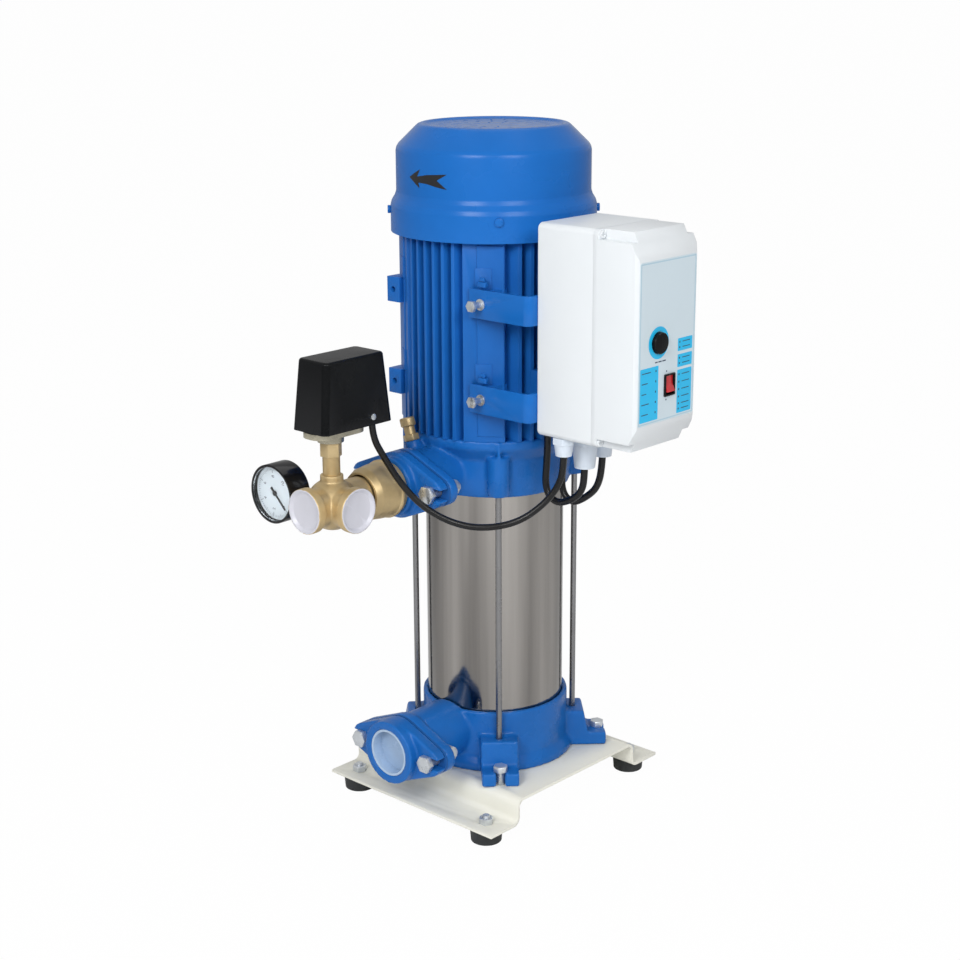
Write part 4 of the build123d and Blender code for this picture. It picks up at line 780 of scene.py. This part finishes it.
@dataclass
class Motor(Assembly):
    """Finned housing, fan end and everything inside."""

    arrow_height: float = 650.0
    arrow_angle: float = 271.0
    arrow_outline: Profile = (
        (-25.9, 2.1), (-9.9, -7.3), (-11.3, -2.0), (1.8, -2.8), (11.5, -4.8), (23.8, -6.6), (12.4, 1.4),
        (23.8, 7.7), (0.6, 6.0), (-13.1, 3.6), (-8.9, 10.8),
    )
    arrow_cuts: range = range(-25, 24, 2)
    arrow_radius: float = 96.56
    cover_wall: float = 1.6
    cover_sides: int = 160
    cover_edge: float = 1.0
    cover_profile: Profile = (
        (102.2, 594.5), (102.2, 620.0), (100.9, 624.5), (97.8, 629.5), (96.4, 634.0), (96.4, 672.8),
        (95.7, 676.2), (93.9, 679.2), (77.4, 695.4), (74.6, 697.9), (71.2, 699.0), (68.6, 698.3),
        (66.4, 696.9), (26.0, 696.4), (0.001, 696.4),
    )
    slot_block: Triple = (8.0, 1.5, 12.0)
    slot_level: float = 697.0
    slot_rounding: float = 0.5
    slot_rings: tuple[tuple[float, int], ...] = ((22.0, 10), (38.0, 16), (52.0, 24))
    pad_angle: float = 54.0
    pad_distance: float = 91.3
    pad_shift: float = 6.7
    pad_level: float = 498.0
    pad_strip: Triple = (2.4, 26.5, 187.0)
    pad_rounding: float = 0.9
    lug_levels: Pair = (444.5, 537.5)
    boss_x: float = 60.5
    boss_blocks: tuple[tuple[Triple, float, float, float], ...] = (
        ((10.5, 5.0, 5.5), 82.5, 18.5, 1.3),
        ((6.5, 3.4, 4.0), 82.8, 23.5, 1.1),
    )

    def skins(self) -> dict[str, Skin]:
        """The motor's nodes."""
        return {
            "motor_housing": Skin(0.0007), "stator_core": Skin(), "stator_windings": Skin(),
            "rotor_core": Skin(), "motor_shaft": Skin(), "motor_bearings": Skin(),
            "motor_end_shield": Skin(0.0006), "cooling_fan": Skin(), "fan_cover_screws": Skin(0.0005),
        }

    def fan_cover(self) -> Piece:
        """Press the fan cover from one turned sheet and cut its air slots."""
        cover = lathe(self.cover_profile, self.cover_sides, self.cover_edge, "fan_cover_shell")
        modify(cover, "SOLIDIFY", thickness=self.cover_wall * MM, offset=-1)
        cutters = []
        for radius, count in self.slot_rings:
            first = block(self.slot_block, (radius, 0, self.slot_level), self.slot_rounding)
            for order in range(1, count):
                cutters.append(duplicate(first, Matrix.Rotation(math.tau * order / count, 4, "Z")))
            cutters.append(first)
        tool = join(cutters, "slot_tool")
        modify(cover, "BOOLEAN", operation="DIFFERENCE", object=tool, solver="EXACT")
        bpy.data.objects.remove(tool)
        shade(cover, SHEET_ANGLE)
        place(cover, "blue_sheet")
        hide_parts("fan_cover")
        return cover

    def pad_strips(self) -> Piece:
        """The raised machining strip on each of the housing's pads."""
        across, along = math.cos(math.radians(self.pad_angle)), math.sin(math.radians(self.pad_angle))
        parts = []
        for side, depth in ((1, -1), (-1, -1), (1, 1), (-1, 1)):
            strip = block(self.pad_strip, (0, 0, 0), self.pad_rounding)
            turn = Matrix.Rotation(math.atan2(depth * along, side * across), 4, "Z")
            spot = Vector((self.pad_distance, -side * depth * self.pad_shift, self.pad_level)) * MM
            strip.data.transform(turn @ Matrix.Translation(spot))
            parts.append(strip)
        return place(shade(join(parts, "pad_strips")), "blue_aluminium")

    def lug_bosses(self) -> Piece:
        """The cast clamp bosses above the straps."""
        parts = []
        for level in self.lug_levels:
            for side in (-1, 1):
                for size, away, rise, rounding in self.boss_blocks:
                    parts.append(block(size, (self.boss_x, side * away, level + rise), rounding))
        return place(shade(join(parts, "lug_bosses")), "blue_aluminium")

    def arrow(self) -> Piece:
        """Cut the arrow from one thin film and wrap it round the fan cover."""
        deselect()
        bpy.ops.mesh.primitive_circle_add(vertices=len(self.arrow_outline), radius=1, fill_type="NGON")
        film = bpy.context.object
        film.name = "rotation_arrow"
        for vertex, (along, up) in zip(film.data.vertices, self.arrow_outline):
            vertex.co = (along * MM, up * MM, 0)

        def divide() -> None:
            """Cut the film across, so that it can bend."""
            bpy.ops.mesh.quads_convert_to_tris(ngon_method="CLIP")
            for cut in self.arrow_cuts:
                bpy.ops.mesh.select_all(action="SELECT")
                bpy.ops.mesh.bisect(plane_co=(cut * MM, 0, 0), plane_no=(1, 0, 0), threshold=MERGE / 10)

        edit(film, divide)
        radius = self.arrow_radius * MM
        for vertex in film.data.vertices:
            angle = math.radians(self.arrow_angle) + vertex.co.x / radius
            level = self.arrow_height * MM + vertex.co.y
            vertex.co = (radius * math.cos(angle), radius * math.sin(angle), level)
        return place(film, "needle_black")

    def extras(self) -> list[Piece]:
        """The cover, the cast details and the rotation arrow."""
        return [self.fan_cover(), self.pad_strips(), self.lug_bosses(), self.arrow()]


@dataclass
class OutletGroup(Assembly):
    """Check valve, five-way fitting, pressure switch and their plugs."""

    axis_height: float = 360.0
    fitting_y: float = -227.0
    spring_share: float = 0.45
    valve_profile: Profile = (
        (20.0, 153.0), (26.3, 153.0), (26.9, 157.4), (28.6, 158.6), (28.9, 160.2), (28.3, 161.6),
        (27.4, 162.4), (27.0, 172.0), (25.6, 184.0), (22.6, 190.6), (20.0, 190.6), (20.0, 153.0),
    )
    plug_profile: Profile = (
        (17.0, 22.5), (17.0, 33.4), (21.2, 35.7), (21.3, 36.15), (19.9, 36.2), (18.6, 35.0), (17.2, 33.6),
        (12.0, 32.9), (0.001, 32.6),
    )

    def skins(self) -> dict[str, Skin]:
        """The outlet's nodes."""
        return {
            "check_valve_disc": Skin(), "check_valve_spring": Skin(),
            "five_way_body": Skin(voxel=Voxel.FINE.value, smooth=8),
            "switch_riser": Skin(0.0005), "switch_base": Skin(0.0009),
            "switch_cover": Skin(0.0022), "switch_cover_screw": Skin(0.0004),
        }

    def valve_shell(self) -> Piece:
        """Turn the check valve's barrel with its seam rib and its bore."""
        shell = lathe(self.valve_profile, 96, 0.8, "check_valve_barrel")
        aim(shell, (0, 0, self.axis_height), (0, -1, 0))
        place(shell, "raw_brass")
        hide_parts("check_valve_body")
        return shell

    def plugs(self) -> Piece:
        """Turn the two dished transport plugs."""
        front = lathe(self.plug_profile, 72, 0.35, "outlet_caps")
        side = duplicate(front, Matrix.Identity(4))
        aim(front, (0, self.fitting_y, self.axis_height), (0, -1, 0))
        aim(side, (0, self.fitting_y, self.axis_height), (1, 0, 0))
        caps = place(join([front, side], "outlet_caps"), "white_plug")
        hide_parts("outlet_plugs")
        return caps

    def spring(self) -> Piece:
        """Give the valve's spring a mesh of its own."""
        coil = frame["nodes"]["check_valve_spring"]
        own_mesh(coil)
        return coil

    def extras(self) -> list[Piece]:
        """The turned pieces and the spring."""
        return [self.valve_shell(), self.plugs(), self.spring()]


@dataclass
class Gauge(Assembly):
    """Pressure gauge with its scale."""

    centre: Pair = (-67.0, 360.0)
    dial_plane: float = -239.15
    first_angle: float = -45.0
    sweep: float = 270.0
    divisions: int = 50
    numbers: tuple[int, ...] = (0, 2, 4, 6, 8, 10)
    tick_radius: float = 24.2
    tick_lengths: Triple = (4.2, 3.2, 2.0)
    tick_widths: Pair = (0.55, 0.28)
    figure_radius: float = 16.4
    figure_size: float = 5.2

    def skins(self) -> dict[str, Skin]:
        """The gauge's nodes."""
        return {
            "gauge_case": Skin(0.0008), "gauge_dial": Skin(), "gauge_needle": Skin(), "gauge_lens": Skin(),
        }

    def spot(self, share: float, radius: float) -> tuple[Vector, float]:
        """A point of the dial and its angle.

        Args:
            share: The share of full scale.
            radius: Millimetres from the dial's centre.

        Returns:
            The point in metres and the angle in radians from +X.
        """
        angle = math.radians(self.first_angle - self.sweep * share)
        x = self.centre[0] + radius * math.cos(angle)
        z = self.centre[1] + radius * math.sin(angle)
        return Vector((x * MM, self.dial_plane * MM, z * MM)), angle

    def ticks(self) -> Piece:
        """The scale's lines: a long one at each tenth division and a middling one at each fifth."""
        longest, middling, shortest = self.tick_lengths
        broad, narrow = self.tick_widths
        parts = []
        for step in range(self.divisions + 1):
            numbered = step % 10 == 0
            length = longest if numbered else (middling if step % 5 == 0 else shortest)
            point, angle = self.spot(step / self.divisions, self.tick_radius - length / 2)
            deselect()
            bpy.ops.mesh.primitive_plane_add(size=1, location=point, rotation=(math.pi / 2, -angle, 0))
            tick = bpy.context.object
            tick.scale = (length * MM, (broad if numbered else narrow) * MM, 1)
            parts.append(freeze(tick))
        return place(join(parts, "gauge_ticks"), "dark_print")

    def figures(self) -> Piece:
        """The scale's numbers."""
        parts = []
        for order, number in enumerate(self.numbers):
            point, _ = self.spot(order / (len(self.numbers) - 1), self.figure_radius)
            deselect()
            bpy.ops.object.text_add(location=point, rotation=(math.pi / 2, -math.pi / 2, 0))
            text = bpy.context.object
            text.data.body = str(number)
            text.data.size = self.figure_size * MM
            text.data.align_x = text.data.align_y = "CENTER"
            bpy.ops.object.convert(target="MESH")
            parts.append(freeze(bpy.context.object))
        return place(join(parts, "gauge_figures"), "dark_print")

    def extras(self) -> list[Piece]:
        """The dial's print."""
        return [self.ticks(), self.figures()]


@dataclass
class ControlBox(Assembly):
    """Strapped-on box with its lid, film, rocker, button and glands."""

    film_face: float = 239.56
    button: Pair = (-42.5, 518.5)
    ring_radii: Pair = (10.4, 15.0)
    blocks: tuple[tuple[float, float, float, float], ...] = (
        (-69.0, -42.0, 447.5, 497.5), (-13.5, 8.5, 506.0, 518.0), (-13.5, 8.5, 491.0, 503.0),
        (-13.5, 8.5, 447.5, 488.5),
    )
    left_lines: tuple[float, ...] = (13.0, 9.0, 7.0, 11.0, 10.0)
    left_top: float = 493.0
    left_pitch: float = 9.6
    right_levels: tuple[float, ...] = (514.5, 509.5, 499.5, 494.5, 484.0, 477.0, 470.0, 463.0, 456.5, 451.5)
    caption_level: float = 500.8
    caption_words: Profile = ((-47.5, -43.5), (-42.5, -37.5), (-36.5, -31.5))
    rocker_marks: Pair = (463.5, 490.2)

    def skins(self) -> dict[str, Skin]:
        """The box's nodes."""
        hardware = Skin(0.0005)
        return {
            "control_box_body": Skin(0.001), "control_box_lid": Skin(0.0012), "lid_screws": Skin(0.0003),
            "front_label": Skin(), "rocker_bezel": Skin(0.0004), "rocker": Skin(0.0004),
            "reset_button": Skin(0.0006), "cable_glands": Skin(0.0008), "run_capacitor": Skin(0.001),
            "box_straps": hardware, "strap_screws": hardware,
        }

    def ring(self) -> Piece:
        """The printed ring round the button."""
        inner, outer = self.ring_radii
        centre = Vector((self.film_face, *self.button)) * MM
        deselect()
        bpy.ops.mesh.primitive_circle_add(vertices=72, radius=inner * MM, location=centre,
                                          rotation=(0, math.pi / 2, 0))
        ring = freeze(bpy.context.object)

        def widen() -> None:
            """Draw the inner circle out to the outer one."""
            bpy.ops.mesh.extrude_region()
            bpy.ops.transform.resize(value=(1, outer / inner, outer / inner), center_override=centre)
            bpy.ops.mesh.normals_make_consistent(inside=False)

        edit(ring, widen)
        ring.name = "button_ring_print"
        return place(ring, "cyan_print")

    def patch(self, low_y: float, high_y: float, low_z: float, high_z: float, lift: float = 0.0,
              corner: float = 0.8) -> Piece:
        """A printed rectangle on the film.

        Args:
            low_y: Its near edge.
            high_y: Its far edge.
            low_z: Its lower edge.
            high_z: Its upper edge.
            lift: How far it stands off the other prints.
            corner: Its corner radius.

        Returns:
            The rectangle.
        """
        centre = ((self.film_face + lift) * MM, (low_y + high_y) / 2 * MM, (low_z + high_z) / 2 * MM)
        deselect()
        bpy.ops.mesh.primitive_plane_add(size=1, location=centre, rotation=(0, math.pi / 2, 0))
        obj = bpy.context.object
        obj.scale = ((high_z - low_z) * MM, (high_y - low_y) * MM, 1)
        freeze(obj)
        edit(obj, lambda: bpy.ops.mesh.bevel(offset=corner * MM, segments=4, affect="VERTICES"))
        return obj

    def dash(self, low_y: float, high_y: float, level: float, half: float, corner: float,
             lift: float = 0.04) -> Piece:
        """A low printed bar about a level, on one of the fields unless lift says otherwise."""
        return self.patch(low_y, high_y, level - half, level + half, lift, corner)

    def prints(self) -> list[Piece]:
        """The cyan fields, and the dark bars that stand in for words."""
        fields = join([self.patch(*edges) for edges in self.blocks], "film_fields")
        marks = []
        for row, length in enumerate(self.left_lines):
            level = self.left_top - row * self.left_pitch
            marks.append(self.dash(-66.5, -66.5 + length, level, 0.45, 0.2))
            marks.append(self.dash(-46.5, -45.0, level, 1.0, 0.4))
        for level in self.right_levels:
            marks.append(self.dash(-11.5, -9.8, level, 0.9, 0.4))
            marks.append(self.dash(-6.5, 5.0, level, 0.4, 0.15))
        for low, high in self.caption_words:
            marks.append(self.dash(low, high, self.caption_level, 0.6, 0.2, 0.02))
        for level in self.rocker_marks:
            marks.append(self.dash(-30.5, -29.0, level, 0.7, 0.2, 0.02))
        place(fields, "cyan_print")
        return [fields, place(join(marks, "film_marks"), "dark_print")]

    def extras(self) -> list[Piece]:
        """The film's print."""
        return [self.ring(), *self.prints()]


@dataclass
class Cable:
    """One cable laid on a smooth line through its route."""

    node: str
    radius: float
    length: float
    points: tuple[Triple, ...]
    stiffness: str = "limp"

    def build(self) -> None:
        curve = bpy.data.curves.new(f"{self.node}_line", "CURVE")
        curve.dimensions = "3D"
        curve.bevel_depth = self.radius * MM
        curve.bevel_resolution = 8
        curve.resolution_u = 10
        curve.use_fill_caps = True
        spline = curve.splines.new("NURBS")
        spline.points.add(len(self.points) - 1)
        for point, place_mm in zip(spline.points, self.points):
            point.co = (*[v * MM for v in place_mm], 1.0)
        spline.order_u = 3
        spline.use_endpoint_u = True
        obj = bpy.data.objects.new(f"{self.node}_run", curve)
        bpy.context.scene.collection.objects.link(obj)
        place(obj, "cable_black")
        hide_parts(self.node)


@dataclass
class Wiring:
    """The three cables; the points of their routes are listed in millimetres."""

    switch_exit: Pair = (16.0, -189.0)
    gland_x: float = 145.5
    gland_y: Triple = (-62.5, -31.0, -3.5)
    switch_legs: Profile = (
        (0, 440), (0, 421), (11, 400), (25, 376), (45, 352), (72, 335), (102, 328), (136, 333), (161, 350),
    )
    switch_end: Profile = ((-3.5, 371), (0, 392), (0, 412))
    auxiliary_legs: Profile = (
        (145.5, 395), (145.5, 377), (143.0, 357), (129.0, 345), (109.0, 338), (95.0, 350), (98.0, 384),
        (98.5, 408), (98.5, 428),
    )
    motor_legs: Profile = (
        (145.5, 403), (145.5, 384), (141.0, 356), (125.0, 341), (106.0, 331), (92.0, 344), (97.0, 380),
        (98.5, 406), (98.5, 428),
    )

    def switch_points(self) -> tuple[Triple, ...]:
        """The switch cable's route, in the upright plane through its exit and its gland."""
        start_x, start_y = self.switch_exit
        across, along = self.gland_x - start_x, self.gland_y[0] - start_y
        span = math.hypot(across, along)
        legs = self.switch_legs + tuple((span + back, z) for back, z in self.switch_end)
        return tuple((start_x + s / span * across, start_y + s / span * along, z) for s, z in legs)

    def build(self) -> None:
        """Lay the three cables."""
        _, auxiliary_y, motor_y = self.gland_y
        auxiliary = tuple((x, auxiliary_y, z) for x, z in self.auxiliary_legs)
        motor = tuple((x, motor_y, z) for x, z in self.motor_legs)
        Cable("switch_cable", 3.25, 294.2, self.switch_points(), "medium").build()
        Cable("auxiliary_lead", 3.5, 169.7, auxiliary).build()
        Cable("motor_lead", 3.5, 188.8, motor).build()


@dataclass(frozen=True)
class Lamp:
    """One soft square lamp: its place and side in metres and its power in watts."""

    name: str
    at: Triple
    side: float
    watts: float

    def hang(self, target: Sequence[float]) -> None:
        """Hang the lamp so that it faces a point.

        Args:
            target: The point, in metres.
        """
        data = bpy.data.lights.new(self.name, "AREA")
        data.shape = "SQUARE"
        data.size = self.side
        data.energy = self.watts
        lamp = bpy.data.objects.new(self.name, data)
        bpy.context.scene.collection.objects.link(lamp)
        lamp.location = self.at
        lamp.rotation_euler = (Vector(target) - Vector(self.at)).to_track_quat("-Z", "Y").to_euler()


@dataclass
class Studio:
    """Camera, pale room and soft lamps; lengths in metres, angles in degrees, the lens in millimetres."""

    azimuth: float = 42.2674
    offset: float = 0.4792
    pitch: float = 16.1184
    roll: float = -0.2877
    distance: float = 1.8
    height: float = 0.85449
    lens: float = 67.9308
    sensor: float = 36.0
    floor_size: float = 240.0
    floor_drop: float = 0.0002
    floor_grey: float = 0.9
    floor_glow: float = 0.98
    room_light: float = 0.36
    mirrored_room: float = 0.55
    target: Triple = (0, 0, 0.35)
    lamps: tuple[Lamp, ...] = (
        Lamp("key lamp", (0.8, -2.45, 1.9), 1.0, 40),
        Lamp("fill lamp", (2.35, -1.1, 1.8), 1.0, 29),
        Lamp("top lamp", (-0.4, 0.6, 2.6), 1.6, 7),
    )

    def camera(self) -> None:
        """Stand the camera."""
        az, turn = math.radians(self.azimuth), math.radians(self.azimuth + self.offset)
        tilt, roll = math.radians(self.pitch), math.radians(self.roll)
        ahead = Vector((-math.sin(turn) * math.cos(tilt), math.cos(turn) * math.cos(tilt), -math.sin(tilt)))
        right = Vector((math.cos(turn), math.sin(turn), 0))
        up = right.cross(ahead)
        side = right * math.cos(roll) + up * math.sin(roll)
        top = up * math.cos(roll) - right * math.sin(roll)
        data = bpy.data.cameras.new("camera")
        data.lens = self.lens
        data.sensor_width = self.sensor
        data.clip_end = 50
        camera = bpy.data.objects.new("camera", data)
        bpy.context.scene.collection.objects.link(camera)
        matrix = Matrix((side, top, -ahead)).transposed().to_4x4()
        matrix.translation = (self.distance * math.sin(az), -self.distance * math.cos(az), self.height)
        camera.matrix_world = matrix
        bpy.context.scene.camera = camera

    def straight(self, graph: Graph) -> Socket:
        """Whether a ray comes from the camera, straight or through the lens."""
        path = graph.add("LightPath")
        return graph.math("MAXIMUM", path.outputs["Is Camera Ray"], path.outputs["Is Transmission Ray"])

    def floor(self) -> None:
        """Lay a pale floor that looks nearly as bright as the room, so that little shadow shows."""
        material, graph, shader = new_material("pale floor")
        shader.inputs["Base Color"].default_value = rgba((self.floor_grey,) * 3)
        shader.inputs["Roughness"].default_value = 0.9
        glow = graph.add("Emission", {"Color": (1, 1, 1, 1), "Strength": 1.0})
        mix = graph.add("MixShader", {0: graph.math("MULTIPLY", self.straight(graph), self.floor_glow)})
        graph.link(shader.outputs[0], mix.inputs[1])
        graph.link(glow.outputs[0], mix.inputs[2])
        graph.link(mix.outputs[0], material.node_tree.nodes["Material Output"].inputs["Surface"])
        deselect()
        bpy.ops.mesh.primitive_plane_add(size=self.floor_size, location=(0, 0, -self.floor_drop))
        floor = bpy.context.object
        floor.name = "floor"
        dress(floor, material)

    def room(self) -> None:
        """Light the world: white to the camera, dimmer in reflections, dimmer still as a light source."""
        world = bpy.data.worlds.new("pale room")
        bpy.context.scene.world = world
        world.use_nodes = True
        graph = Graph(world.node_tree)
        mirrored = graph.add("LightPath").outputs["Is Glossy Ray"]
        around = graph.math("MULTIPLY_ADD", mirrored, self.mirrored_room - self.room_light, self.room_light)
        background = world.node_tree.nodes["Background"]
        background.inputs["Color"].default_value = (1, 1, 1, 1)
        graph.link(graph.math("MAXIMUM", self.straight(graph), around), background.inputs["Strength"])

    def build(self) -> None:
        """Set up the whole studio."""
        self.camera()
        self.floor()
        self.room()
        for lamp in self.lamps:
            lamp.hang(self.target)
        bpy.context.scene.view_settings.view_transform = "Standard"


def main() -> None:
    """Build every sub-assembly in order and report the pieces."""
    logging.basicConfig(level=logging.INFO, format="%(message)s")
    Studio().build()
    Wiring().build()
    for assembly in (Stand(), PumpEnd(), Motor(), OutletGroup(), Gauge(), ControlBox()):
        assembly.build()


if __name__ == "__main__":
    main()
